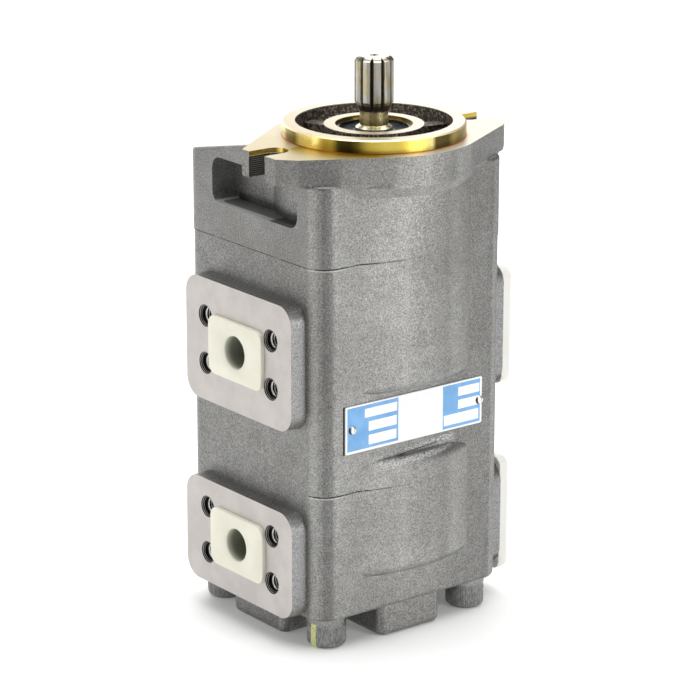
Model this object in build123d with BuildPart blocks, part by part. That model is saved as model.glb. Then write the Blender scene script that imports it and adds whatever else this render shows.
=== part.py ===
from build123d import *
from math import acos, atan, atan2, copysign, cos, degrees, hypot, pi, radians, sin, sqrt, tan
import os

# A tandem gear pump: a flanged cover and two gear housings, clamped by four long screws.
# The origin is on the shaft's axis in the flange's mounting face, and +Z points out along
# the shaft. The outlets face -X, the inlets +X and the name plate -Y. Millimetres.

# Gears
GEAR_MODULE = 4.25
GEAR_TEETH = 12
PRESSURE_ANGLE = 25.0
TOOTH_BACKLASH = 0.24
FRONT_GEAR_WIDTH = 38.0
REAR_GEAR_WIDTH = 24.0
TIP_CLEARANCE = 0.1
FACE_CLEARANCE = 0.05
ROOT_DEPTH_FACTOR = 1.25

# Bearing blocks, from the cover down, and the floors under them
FRONT_UPPER_BLOCK_LENGTH = 38.55
FRONT_LOWER_BLOCK_LENGTH = 36.0
FRONT_FLOOR = 16.65
REAR_UPPER_BLOCK_LENGTH = 29.4
REAR_LOWER_BLOCK_LENGTH = 12.0
REAR_FLOOR = 7.85
BLOCK_CLEARANCE = 0.1
BLOCK_BORE_CLEARANCE = 0.5
FLOOR_JOURNAL_LENGTH = 15.0
SEAL_RING_WIDTH = 3.0
SEAL_RING_DEPTH = 2.0
SEAL_RING_INSET = 3.4
JOINT_SEAL_WALL = 2.3
JOINT_SEAL_WIDTH = 2.4
JOINT_SEAL_DEPTH = 2.0

# Body
FLANK_WALL = 35.75
END_WALL = 7.35
BODY_CORNER = 13.0
BODY_EDGE = 2.5
COVER_OVERHANG = 0.5
BULGE_RADIUS = 100.0
BULGE_PROUD = 7.8
BULGE_ROUNDING = 6.0
FRONT_BULGE_RISE = 0.8
REAR_BULGE_LEAD = 15.5
REAR_BULGE_RISE = 0.55

# Flange and pilot
PILOT_DIAMETER = 101.6
PILOT_HEIGHT = 7.8
PILOT_WALL = 7.4
PILOT_CHAMFER = 0.8
HOLLOW_FLOOR_LEVEL = -7.0
HOLLOW_RIB_WIDTH = 9.0
HOLLOW_RIB_DROP = 6.0
HOLLOW_RIB_COUNT = 3
HOLLOW_RIB_ANGLE = -10.0
DISC_MARGIN = 7.0
DISC_THICKNESS = 17.0
EAR_THICKNESS = 14.3
EAR_CORNER_LENGTH = 8.5
EAR_CORNER_WIDTH = 9.2
EAR_PRONG_WIDTH = 9.85
EAR_BACK_PRONG_WIDTH = 6.3
SLOT_WIDTH = 14.3
SLOT_LENGTH = 19.5
SLOT_DISC_GAP = 2.2
FLANGE_ROOT_DROP = 9.0
FLANGE_ROOT_DRAFT = 32.0
BACK_SLOPE_START = 19.0
BACK_SLOPE_ANGLE = 12.0
CAST_ROUNDING = 2.5
POCKET_HEIGHT = 26.4
POCKET_FLOOR = 19.5
POCKET_FRONT_WALL = 19.2
POCKET_BACK_WALL = 27.5
POCKET_DEPTH = 15.0
POCKET_CORE_INSET = 1.8
POCKET_ROUNDING = 7.0

# Seal boss and shaft seal
BOSS_WALL = 6.25
BOSS_RIM = 1.7
SEAL_DIAMETER = 42.8
SEAL_TOP = 2.6
SEAL_HEIGHT = 9.0
SEAL_CASE_WALL = 3.0
SEAL_LIP_HEIGHT = 3.5
SEAL_LIP_CLEARANCE = 0.05
SEAL_WEB = 2.0
SEAL_LIP_WIDTH = 2.2
RING_THICKNESS = 1.5
RING_GROOVE_DEPTH = 0.9
RING_RADIAL_WIDTH = 3.2
RING_GAP = 9.0
COVER_BORE_CLEARANCE = 1.5

# Drive shaft and journals
SPLINE_LENGTH = 30.2
SPLINE_RUNOUT = 5.4
SPLINE_DIAMETER = 21.8
SPLINE_ROOT_DEPTH = 2.4
SPLINE_TEETH = 11
SPLINE_TOOTH_WIDTH = 3.7
SPLINE_FLANK_SPREAD = 0.6
SPLINE_TURN = 12.4
SHAFT_CHAMFER = 2.2
CENTRE_HOLE_DIAMETER = 5.0
CENTRE_HOLE_DEPTH = 6.0
NECK_DIAMETER = 15.8
NECK_START = 5.6
NECK_LENGTH = 8.0
FLARE_HEIGHT = 1.6
SEAL_LAND_DIAMETER = 20.4
SHOULDER_STEP = 1.8
JOURNAL_DIAMETER = 28.0
JOURNAL_CHAMFER = 0.8
JOURNAL_CLEARANCE = 0.03
BUSH_WALL = 2.5
JOURNAL_END_GAP = 1.0
BUSH_END_GAP = 0.5

# Coupling between the two drive gears
COUPLING_TEETH = 6
COUPLING_TIP_DIAMETER = 20.8
COUPLING_TOOTH_DEPTH = 1.9
COUPLING_TOOTH_WIDTH = 5.0
COUPLING_FIT = 0.06
SLEEVE_WALL = 6.5
SLEEVE_BORE_CLEARANCE = 0.6
COUPLING_END_GAP = 0.5
SLEEVE_END_GAP = 0.4

# Ports
PAD_WIDTH = 98.9
PAD_PROUD = 9.4
PAD_CORNER = 11.0
PAD_DRAFT = 3.0
FRONT_PAD_HEIGHT = 71.3
REAR_PAD_HEIGHT = 62.0
REAR_PAD_DROP = 0.9
REAR_PAD_EXTRA = 2.0
OUTLET_DIAMETER = 28.0
OUTLET_BOLT_SPACING_Y = 61.5
OUTLET_BOLT_SPACING_Z = 27.6
INLET_DIAMETER = 38.0
INLET_BOLT_SPACING_Y = 69.9
INLET_BOLT_SPACING_Z = 35.7
PORT_THREAD_DIAMETER = 10.2
PORT_THREAD_DEPTH = 24.0
PORT_THREAD_CHAMFER = 1.3

# Port plugs and covers
PLUG_WIDTH = 50.0
PLUG_HEIGHT = 34.0
PLUG_HEAD = 2.6
PLUG_CORNER = 4.5
PLUG_EDGE = 0.8
PLUG_BARREL_LENGTH = 16.0
PLUG_WALL = 4.7
PLUG_HOLE_DEPTH = 13.0
PLUG_FIT = 0.05
PORT_COVER_WIDTH = 97.3
PORT_COVER_HEIGHT = 68.6
PORT_COVER_DROP = 1.5
PORT_COVER_THICKNESS = 6.6
PORT_COVER_CORNER = 5.5
PORT_COVER_EDGE = 1.2
PORT_COVER_SPIGOT = 14.0
PORT_COVER_DISH_WALL = 3.95
PORT_COVER_DISH_DEPTH = 15.0

# Foot
FOOT_WALL = 11.15
FOOT_ARM_WIDTH_X = 44.0
FOOT_ARM_WIDTH_Y = 50.0
FOOT_INSET_X = 2.6
FOOT_INSET_Y = 1.2
FOOT_ROUNDING = 6.0
FOOT_EDGE = 4.0

# Screws, washers and dowels
SCREW_EDGE_X = 15.6
SCREW_EDGE_Y = 14.7
SCREW_DIAMETER = 14.0
SCREW_HOLE_CLEARANCE = 0.5
SCREW_HEAD_STEP = 3.8
SCREW_HEAD_HEIGHT = 14.0
SCREW_HEAD_CHAMFER = 1.4
SCREW_SOCKET_WIDTH = 12.0
SCREW_SOCKET_DEPTH = 7.0
SCREW_TIP_CHAMFER = 1.5
SCREW_HOLE_SPARE = 3.5
SCREW_POCKET_WALL = 2.0
TAPPED_CLEARANCE = 0.04
WASHER_RIM = 0.4
WASHER_THICKNESS = 3.8
WASHER_SPLIT = 1.2
WASHER_BORE_CLEARANCE = 0.2
DOWEL_DIAMETER = 10.0
DOWEL_LENGTH = 16.0
DOWEL_CHAMFER = 0.8

# Name plate
PLATE_WIDTH = 96.8
PLATE_HEIGHT = 27.4
PLATE_THICKNESS = 0.8
PLATE_CORNER = 0.6
PLATE_RISE = 2.1
PLATE_OFFSET = -0.35
RIVET_OFFSET = 1.1
RIVET_INSET = 3.4
RIVET_HEAD_DIAMETER = 5.0
RIVET_HEAD_HEIGHT = 1.4
RIVET_SHANK_DIAMETER = 2.6
RIVET_SHANK_LENGTH = 6.0

# Worked out from the values above: gears and body
CENTRE_DISTANCE = GEAR_MODULE * GEAR_TEETH
PITCH_RADIUS = CENTRE_DISTANCE / 2
TIP_RADIUS = PITCH_RADIUS + GEAR_MODULE
ROOT_RADIUS = PITCH_RADIUS - ROOT_DEPTH_FACTOR * GEAR_MODULE
CHAMBER_RADIUS = TIP_RADIUS + TIP_CLEARANCE
GEAR_AXES = ((0, 0), (0, CENTRE_DISTANCE))
BODY_WIDTH = 2 * (CHAMBER_RADIUS + FLANK_WALL)
BODY_DEPTH = CENTRE_DISTANCE + 2 * (CHAMBER_RADIUS + END_WALL)
BODY_Y = CENTRE_DISTANCE / 2
SIDE_X = BODY_WIDTH / 2
FRONT_Y = BODY_Y - BODY_DEPTH / 2
BACK_Y = BODY_Y + BODY_DEPTH / 2
PAD_FACE_X = SIDE_X + PAD_PROUD

# Levels, from the flange's face down
POCKET_BOTTOM = -EAR_THICKNESS - POCKET_HEIGHT
JOINT_LEVEL_FRONT = POCKET_BOTTOM - POCKET_FLOOR
FRONT_GEAR_TOP = JOINT_LEVEL_FRONT - FRONT_UPPER_BLOCK_LENGTH - FACE_CLEARANCE
FRONT_GEAR_BOTTOM = FRONT_GEAR_TOP - FRONT_GEAR_WIDTH
FRONT_CHAMBER_FLOOR = FRONT_GEAR_BOTTOM - FACE_CLEARANCE - FRONT_LOWER_BLOCK_LENGTH
JOINT_LEVEL_REAR = FRONT_CHAMBER_FLOOR - FRONT_FLOOR
REAR_GEAR_TOP = JOINT_LEVEL_REAR - REAR_UPPER_BLOCK_LENGTH - FACE_CLEARANCE
REAR_GEAR_BOTTOM = REAR_GEAR_TOP - REAR_GEAR_WIDTH
REAR_CHAMBER_FLOOR = REAR_GEAR_BOTTOM - FACE_CLEARANCE - REAR_LOWER_BLOCK_LENGTH
BODY_END_LEVEL = REAR_CHAMBER_FLOOR - REAR_FLOOR
FLOOR_BORE_END = REAR_CHAMBER_FLOOR - FLOOR_JOURNAL_LENGTH
FOOT_LEVEL = FLOOR_BORE_END - FOOT_WALL
FRONT_PORT_LEVEL = (FRONT_GEAR_TOP + FRONT_GEAR_BOTTOM) / 2
REAR_PORT_LEVEL = (REAR_GEAR_TOP + REAR_GEAR_BOTTOM) / 2
REAR_PAD_LEVEL = REAR_PORT_LEVEL - REAR_PAD_DROP
FRONT_BULGE_END = FRONT_GEAR_BOTTOM + FRONT_BULGE_RISE
REAR_BULGE_START = JOINT_LEVEL_REAR + REAR_BULGE_LEAD
REAR_BULGE_END = REAR_GEAR_BOTTOM + REAR_BULGE_RISE
PLATE_LEVEL = (FRONT_BULGE_END + REAR_BULGE_START) / 2 + PLATE_RISE

# Flange
PILOT_HOLLOW_DIAMETER = PILOT_DIAMETER - 2 * PILOT_WALL
DISC_DIAMETER = PILOT_DIAMETER + 2 * DISC_MARGIN
SLOT_INNER_END = DISC_DIAMETER / 2 + SLOT_DISC_GAP
EAR_END = SLOT_INNER_END + SLOT_LENGTH
EAR_FRONT_EDGE = SLOT_WIDTH / 2 + EAR_PRONG_WIDTH
EAR_BACK_EDGE = SLOT_WIDTH / 2 + EAR_BACK_PRONG_WIDTH
POCKET_CORE_RADIUS = DISC_DIAMETER / 2 - POCKET_CORE_INSET
POCKET_START = FRONT_Y + POCKET_FRONT_WALL
POCKET_END = BACK_Y - POCKET_BACK_WALL

# Seals, journals and coupling
BOSS_DIAMETER = SEAL_DIAMETER + 2 * BOSS_WALL
BOSS_TOP = SEAL_TOP + RING_THICKNESS + BOSS_RIM
SEAL_BOTTOM = SEAL_TOP - SEAL_HEIGHT
SEAL_LIP_RADIUS = SEAL_LAND_DIAMETER / 2 + SEAL_LIP_CLEARANCE
SHOULDER_DIAMETER = SEAL_LAND_DIAMETER + 2 * SHOULDER_STEP
COVER_BORE_RADIUS = SHOULDER_DIAMETER / 2 + COVER_BORE_CLEARANCE
SPLINE_END = NECK_START + NECK_LENGTH
SHAFT_TOP = SPLINE_END + SPLINE_LENGTH
SPLINE_ROOT_DIAMETER = SPLINE_DIAMETER - 2 * SPLINE_ROOT_DEPTH
BLOCK_RADIUS = CHAMBER_RADIUS - BLOCK_CLEARANCE
BUSH_INNER_RADIUS = JOURNAL_DIAMETER / 2 + JOURNAL_CLEARANCE
BUSH_OUTER_RADIUS = BUSH_INNER_RADIUS + BUSH_WALL
COUPLING_ROOT_DIAMETER = COUPLING_TIP_DIAMETER - 2 * COUPLING_TOOTH_DEPTH
SLEEVE_RADIUS = COUPLING_TIP_DIAMETER / 2 + SLEEVE_WALL
SLEEVE_PASSAGE_RADIUS = SLEEVE_RADIUS + SLEEVE_BORE_CLEARANCE
SLEEVE_TOP = FRONT_CHAMBER_FLOOR - SLEEVE_END_GAP
SLEEVE_BOTTOM = JOINT_LEVEL_REAR + SLEEVE_END_GAP
COUPLING_MIDDLE = (SLEEVE_TOP + SLEEVE_BOTTOM) / 2

# Plugs, covers, screws and rivets
PLUG_RADIUS = OUTLET_DIAMETER / 2 - PLUG_FIT
SPIGOT_RADIUS = INLET_DIAMETER / 2 - PLUG_FIT
SCREW_X = SIDE_X - SCREW_EDGE_X
SCREW_SPAN_Y = BODY_DEPTH - 2 * SCREW_EDGE_Y
SCREW_POINTS = [(sx * SCREW_X, BODY_Y + sy * SCREW_SPAN_Y / 2) for sx in (-1, 1) for sy in (-1, 1)]
SCREW_NAMES = ("left_front", "left_back", "right_front", "right_back")
SCREW_HEAD_DIAMETER = SCREW_DIAMETER + 2 * SCREW_HEAD_STEP
WASHER_DIAMETER = SCREW_HEAD_DIAMETER + 2 * WASHER_RIM
WASHER_LEVEL = BODY_END_LEVEL - WASHER_THICKNESS
SCREW_HOLE_END = POCKET_BOTTOM - SCREW_POCKET_WALL
SCREW_TIP_LEVEL = SCREW_HOLE_END - SCREW_HOLE_SPARE
DOWEL_POINTS = [(-SCREW_X, BODY_Y), (SCREW_X, BODY_Y)]
RIVET_REACH = PLATE_WIDTH / 2 - RIVET_INSET
RIVET_POINTS = [(RIVET_OFFSET + side * RIVET_REACH, PLATE_LEVEL) for side in (-1, 1)]

os.makedirs("parts", exist_ok=True)


def save(piece, name):
    """Labels a finished piece and writes it."""
    piece.part.label = name
    export_step(piece.part, f"parts/{name}.step")


def side_plane(side, level, x=PAD_FACE_X):
    """A plane on the left (-1) or right (1) face, looking out, with its own X level and Y up."""
    return Plane(origin=(side * x, BODY_Y, level), x_dir=(0, side, 0), z_dir=(side, 0, 0))


# Castings

def body_section(bottom, top, overhang=0.0):
    """A length of the body's rounded square section."""
    with BuildPart() as section:
        with BuildSketch(Plane.XY.offset(bottom)):
            with Locations((0, BODY_Y)):
                RectangleRounded(BODY_WIDTH + 2 * overhang, BODY_DEPTH, BODY_CORNER)
        extrude(amount=top - bottom)
    return section.part


def bulge(bottom, top, facing):
    """The curved swelling over a gear chamber, on the front (-1) or back (1) face."""
    near_face = BODY_Y + facing * BODY_DEPTH / 2
    axis_y = near_face - facing * (BULGE_RADIUS - BULGE_PROUD)
    half_arc = degrees(acos(1 - BULGE_PROUD / BULGE_RADIUS)) + 1.0
    start = radians(facing * 90 - half_arc)
    section = Plane(
        origin=(0, axis_y, 0),
        x_dir=(cos(start), sin(start), 0),
        z_dir=(sin(start), -cos(start), 0),
    )
    with BuildPart() as swelling:
        with BuildSketch(section):
            with Locations((BULGE_RADIUS - BULGE_PROUD, (bottom + top) / 2)):
                RectangleRounded(2 * BULGE_PROUD, top - bottom, BULGE_ROUNDING)
        revolve(axis=Axis((0, axis_y, 0), (0, 0, 1)), revolution_arc=2 * half_arc)
    return swelling.part


def port_pad(side, level, height, extra=0.0):
    """A rough pad with drafted sides, standing out of the left or right face."""
    with BuildPart() as pad:
        with BuildSketch(side_plane(side, level)):
            with Locations((side * extra / 2, 0)):
                RectangleRounded(PAD_WIDTH + extra, height, PAD_CORNER)
        extrude(amount=-(PAD_PROUD + 1.0), taper=-PAD_DRAFT)
    return pad.part


def port_cut(side, level, port_diameter, spacing_y, spacing_z):
    """The port's bore into the gear chamber, and its four threaded holes."""
    inner_x = sqrt(CHAMBER_RADIUS ** 2 - (CENTRE_DISTANCE / 2) ** 2) - 2.0
    with BuildPart() as cut:
        with BuildSketch(side_plane(side, level)):
            Circle(port_diameter / 2)
        extrude(amount=inner_x - PAD_FACE_X)
        with Locations(side_plane(side, level)):
            with GridLocations(spacing_y, spacing_z, 2, 2):
                Cylinder(
                    PORT_THREAD_DIAMETER / 2,
                    PORT_THREAD_DEPTH,
                    align=(Align.CENTER, Align.CENTER, Align.MAX),
                )
                Cone(
                    PORT_THREAD_DIAMETER / 2,
                    PORT_THREAD_DIAMETER / 2 + PORT_THREAD_CHAMFER,
                    PORT_THREAD_CHAMFER,
                    align=(Align.CENTER, Align.CENTER, Align.MAX),
                )
    return cut.part


def figure_eight(radius, bottom, top):
    """Two overlapping cylinders on the gear axes."""
    with BuildPart() as lobes:
        with BuildSketch(Plane.XY.offset(bottom)):
            with Locations(*GEAR_AXES):
                Circle(radius)
        extrude(amount=top - bottom)
    return lobes.part


def ring_eight(outer, inner, bottom, top):
    """A band that follows the figure of eight."""
    with BuildPart() as band:
        with BuildSketch(Plane.XY.offset(bottom)):
            with Locations(*GEAR_AXES):
                Circle(outer)
            with Locations(*GEAR_AXES):
                Circle(inner, mode=Mode.SUBTRACT)
        extrude(amount=top - bottom)
    return band.part


def round_bars(points, radius, bottom, top):
    """Upright cylinders at a list of points."""
    with BuildPart() as bars:
        with BuildSketch(Plane.XY.offset(bottom)):
            with Locations(*points):
                Circle(radius)
        extrude(amount=top - bottom)
    return bars.part


def touching_point(corner):
    """Where a straight edge from a corner of an ear touches the flange's disc."""
    disc = DISC_DIAMETER / 2
    angle = atan2(corner[1], corner[0]) + acos(disc / hypot(*corner))
    return (disc * cos(angle), disc * sin(angle))


def flange_outline():
    """The flange seen along the shaft: a disc, with straight edges tangent to it out to each ear."""
    shoulder = (EAR_END - EAR_CORNER_LENGTH, EAR_FRONT_EDGE + EAR_CORNER_WIDTH)
    back_corner = (EAR_END, EAR_BACK_EDGE)
    front = [(EAR_END, EAR_FRONT_EDGE), shoulder, touching_point(shoulder)]
    side = [touching_point(back_corner), back_corner] + [(x, -y) for x, y in front]
    corners = side + [(-x, y) for x, y in reversed(side)]
    with BuildSketch() as outline:
        Circle(DISC_DIAMETER / 2)
        with BuildLine():
            Polyline(*corners, close=True)
        make_face()
    return outline.sketch


def wrench_pocket(side):
    """The hollow under one ear that leaves room for a nut, behind it the round core of the cover."""
    middle = (POCKET_START + POCKET_END) / 2 - BODY_Y
    with BuildPart() as pocket:
        with BuildSketch(side_plane(side, POCKET_BOTTOM + POCKET_HEIGHT / 2, EAR_END)):
            with Locations((side * middle, 0)):
                RectangleRounded(POCKET_END - POCKET_START, POCKET_HEIGHT, POCKET_ROUNDING)
        extrude(amount=SIDE_X - POCKET_DEPTH - EAR_END)
        with BuildSketch(Plane.XY.offset(POCKET_BOTTOM - POCKET_ROUNDING)):
            Circle(POCKET_CORE_RADIUS)
        extrude(amount=POCKET_HEIGHT + 2 * POCKET_ROUNDING, mode=Mode.SUBTRACT)
    return pocket.part


def foot_arm(size_x, size_y):
    """One arm of the foot, with rounded ends and edges, reaching up into the rear housing."""
    with BuildPart() as arm:
        with BuildSketch(Plane.XY.offset(FOOT_LEVEL)):
            with Locations((0, BODY_Y)):
                Rectangle(size_x, size_y)
        extrude(amount=BODY_END_LEVEL - FOOT_LEVEL + BODY_EDGE)
        fillet(arm.edges().filter_by(Axis.Z), FOOT_ROUNDING)
        fillet(arm.edges().group_by(Axis.Z)[0], FOOT_EDGE)
    return arm.part


with BuildPart() as front_cover:
    add(body_section(JOINT_LEVEL_FRONT, 0, COVER_OVERHANG))
    # The back of the top slopes down from beside the flange
    with BuildSketch(Plane.YZ) as slope:
        run = 2 * BODY_DEPTH
        with BuildLine():
            Polyline(
                (BACK_SLOPE_START, 0),
                (BACK_SLOPE_START + run, -run * tan(radians(BACK_SLOPE_ANGLE))),
                (BACK_SLOPE_START + run, EAR_THICKNESS),
                (BACK_SLOPE_START, EAR_THICKNESS),
                close=True,
            )
        make_face()
    extrude(amount=BODY_WIDTH, both=True, mode=Mode.SUBTRACT)
    with BuildSketch(Plane.XY.offset(-EAR_THICKNESS)) as under_flange:
        with Locations((0, BACK_SLOPE_START - BODY_DEPTH)):
            Rectangle(2 * BODY_WIDTH, 2 * BODY_DEPTH)
    extrude(amount=2 * EAR_THICKNESS, mode=Mode.SUBTRACT)
    top_edges = front_cover.faces().filter_by(lambda face: 0.5 < face.normal_at().Z < 0.999).edges()
    fillet(top_edges.filter_by(lambda edge: edge.center().Y > BACK_SLOPE_START + 1.0), CAST_ROUNDING)
    ledge_edges = front_cover.faces().filter_by(lambda face: face.normal_at().Z > 0.999).edges()
    fillet(ledge_edges.filter_by(lambda edge: edge.center().Y < BACK_SLOPE_START - 1.0), CAST_ROUNDING)
    add(bulge(JOINT_LEVEL_FRONT - BULGE_ROUNDING, BULGE_ROUNDING - DISC_THICKNESS, -1))
    add(bulge(JOINT_LEVEL_FRONT - BULGE_ROUNDING, -DISC_THICKNESS - BULGE_ROUNDING, 1))
    with BuildSketch(Plane.XY.offset(JOINT_LEVEL_FRONT)) as below_joint:
        with Locations((0, BODY_Y)):
            Rectangle(2 * BODY_WIDTH, 2 * BODY_DEPTH)
    extrude(amount=-2 * BULGE_ROUNDING, mode=Mode.SUBTRACT)
    # Flange, its ears and its drafted root, and the pilot
    with BuildSketch() as ears:
        add(flange_outline())
    extrude(amount=-EAR_THICKNESS)
    with BuildSketch(Plane.XY.offset(-EAR_THICKNESS)) as root:
        add(flange_outline())
        Rectangle(BODY_WIDTH, BODY_DEPTH, mode=Mode.INTERSECT)
    extrude(amount=-FLANGE_ROOT_DROP, taper=FLANGE_ROOT_DRAFT)
    with BuildSketch() as disc_band:
        Circle(DISC_DIAMETER / 2)
    extrude(amount=-DISC_THICKNESS)
    with BuildSketch() as pilot:
        Circle(PILOT_DIAMETER / 2)
    extrude(amount=PILOT_HEIGHT)
    chamfer(front_cover.edges().group_by(Axis.Z)[-1], PILOT_CHAMFER)
    # The cast hollow between the pilot ring and the seal boss, with its ribs
    with BuildSketch(Plane.XY.offset(PILOT_HEIGHT)) as hollow:
        Circle(PILOT_HOLLOW_DIAMETER / 2)
        Circle(BOSS_DIAMETER / 2, mode=Mode.SUBTRACT)
    extrude(amount=HOLLOW_FLOOR_LEVEL - PILOT_HEIGHT, mode=Mode.SUBTRACT)
    with BuildSketch(Plane.XY.offset(HOLLOW_FLOOR_LEVEL)) as ribs:
        rib_middle = (BOSS_DIAMETER + PILOT_HOLLOW_DIAMETER) / 4
        with PolarLocations(rib_middle, HOLLOW_RIB_COUNT, HOLLOW_RIB_ANGLE):
            Rectangle((PILOT_HOLLOW_DIAMETER - BOSS_DIAMETER) / 2 + 2.0, HOLLOW_RIB_WIDTH)
    extrude(amount=PILOT_HEIGHT - HOLLOW_RIB_DROP - HOLLOW_FLOOR_LEVEL)
    with BuildSketch(Plane.XY.offset(BOSS_TOP)) as boss_face:
        Circle(BOSS_DIAMETER / 2 + 0.01)
    extrude(amount=PILOT_HEIGHT, mode=Mode.SUBTRACT)
    # Bores for the seal, its ring and the shaft
    with BuildSketch(Plane.XY.offset(BOSS_TOP)) as seal_bore:
        Circle(SEAL_DIAMETER / 2)
    extrude(amount=SEAL_BOTTOM - BOSS_TOP, mode=Mode.SUBTRACT)
    with BuildSketch(Plane.XY.offset(SEAL_TOP)) as ring_groove:
        Circle(SEAL_DIAMETER / 2 + RING_GROOVE_DEPTH)
    extrude(amount=RING_THICKNESS, mode=Mode.SUBTRACT)
    with BuildSketch(Plane.XY.offset(SEAL_BOTTOM)) as shaft_bore:
        Circle(COVER_BORE_RADIUS)
    extrude(amount=JOINT_LEVEL_FRONT - SEAL_BOTTOM, mode=Mode.SUBTRACT)
    # Mounting slots, open at the ears' ends
    for side in (-1, 1):
        with BuildSketch() as slot:
            with Locations((side * (SLOT_INNER_END + SLOT_WIDTH / 2), 0)):
                Circle(SLOT_WIDTH / 2)
            with Locations((side * (SLOT_INNER_END + SLOT_WIDTH / 2 + SLOT_LENGTH / 2), 0)):
                Rectangle(SLOT_LENGTH, SLOT_WIDTH)
        extrude(amount=-(EAR_THICKNESS + POCKET_ROUNDING), mode=Mode.SUBTRACT)
        add(wrench_pocket(side), mode=Mode.SUBTRACT)
    # Blind tapped holes for the through screws, and dowel holes
    add(
        round_bars(
            SCREW_POINTS,
            SCREW_DIAMETER / 2 + TAPPED_CLEARANCE,
            JOINT_LEVEL_FRONT,
            SCREW_HOLE_END,
        ),
        mode=Mode.SUBTRACT,
    )
    add(
        round_bars(
            DOWEL_POINTS,
            DOWEL_DIAMETER / 2,
            JOINT_LEVEL_FRONT,
            JOINT_LEVEL_FRONT + DOWEL_LENGTH / 2,
        ),
        mode=Mode.SUBTRACT,
    )
save(front_cover, "front_cover")

with BuildPart() as front_housing:
    add(body_section(JOINT_LEVEL_REAR, JOINT_LEVEL_FRONT))
    for facing in (-1, 1):
        add(bulge(FRONT_BULGE_END, JOINT_LEVEL_FRONT + BULGE_ROUNDING, facing))
        add(bulge(JOINT_LEVEL_REAR - BULGE_ROUNDING, REAR_BULGE_START, facing))
    for level, direction in ((JOINT_LEVEL_FRONT, 1), (JOINT_LEVEL_REAR, -1)):
        with BuildSketch(Plane.XY.offset(level)) as beyond_joint:
            with Locations((0, BODY_Y)):
                Rectangle(2 * BODY_WIDTH, 2 * BODY_DEPTH)
        extrude(amount=direction * 2 * BULGE_ROUNDING, mode=Mode.SUBTRACT)
    for side in (-1, 1):
        add(port_pad(side, FRONT_PORT_LEVEL, FRONT_PAD_HEIGHT))
    # Gear chamber, and the passage of the coupling through the floor
    add(figure_eight(CHAMBER_RADIUS, FRONT_CHAMBER_FLOOR, JOINT_LEVEL_FRONT), mode=Mode.SUBTRACT)
    add(
        round_bars([GEAR_AXES[0]], SLEEVE_PASSAGE_RADIUS, JOINT_LEVEL_REAR, FRONT_CHAMBER_FLOOR),
        mode=Mode.SUBTRACT,
    )
    add(
        port_cut(-1, FRONT_PORT_LEVEL, OUTLET_DIAMETER, OUTLET_BOLT_SPACING_Y, OUTLET_BOLT_SPACING_Z),
        mode=Mode.SUBTRACT,
    )
    add(
        port_cut(1, FRONT_PORT_LEVEL, INLET_DIAMETER, INLET_BOLT_SPACING_Y, INLET_BOLT_SPACING_Z),
        mode=Mode.SUBTRACT,
    )
    add(
        ring_eight(
            CHAMBER_RADIUS + JOINT_SEAL_WALL + JOINT_SEAL_WIDTH,
            CHAMBER_RADIUS + JOINT_SEAL_WALL,
            JOINT_LEVEL_FRONT - JOINT_SEAL_DEPTH,
            JOINT_LEVEL_FRONT,
        ),
        mode=Mode.SUBTRACT,
    )
    add(
        round_bars(
            SCREW_POINTS,
            SCREW_DIAMETER / 2 + SCREW_HOLE_CLEARANCE,
            JOINT_LEVEL_REAR,
            JOINT_LEVEL_FRONT,
        ),
        mode=Mode.SUBTRACT,
    )
    for level, direction in ((JOINT_LEVEL_FRONT, -1), (JOINT_LEVEL_REAR, 1)):
        add(
            round_bars(DOWEL_POINTS, DOWEL_DIAMETER / 2, level, level + direction * DOWEL_LENGTH / 2),
            mode=Mode.SUBTRACT,
        )
    with BuildSketch(Plane.XZ.offset(-FRONT_Y)):
        with Locations(*RIVET_POINTS):
            Circle(RIVET_SHANK_DIAMETER / 2)
    extrude(amount=-RIVET_SHANK_LENGTH, mode=Mode.SUBTRACT)
save(front_housing, "front_housing")

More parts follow.
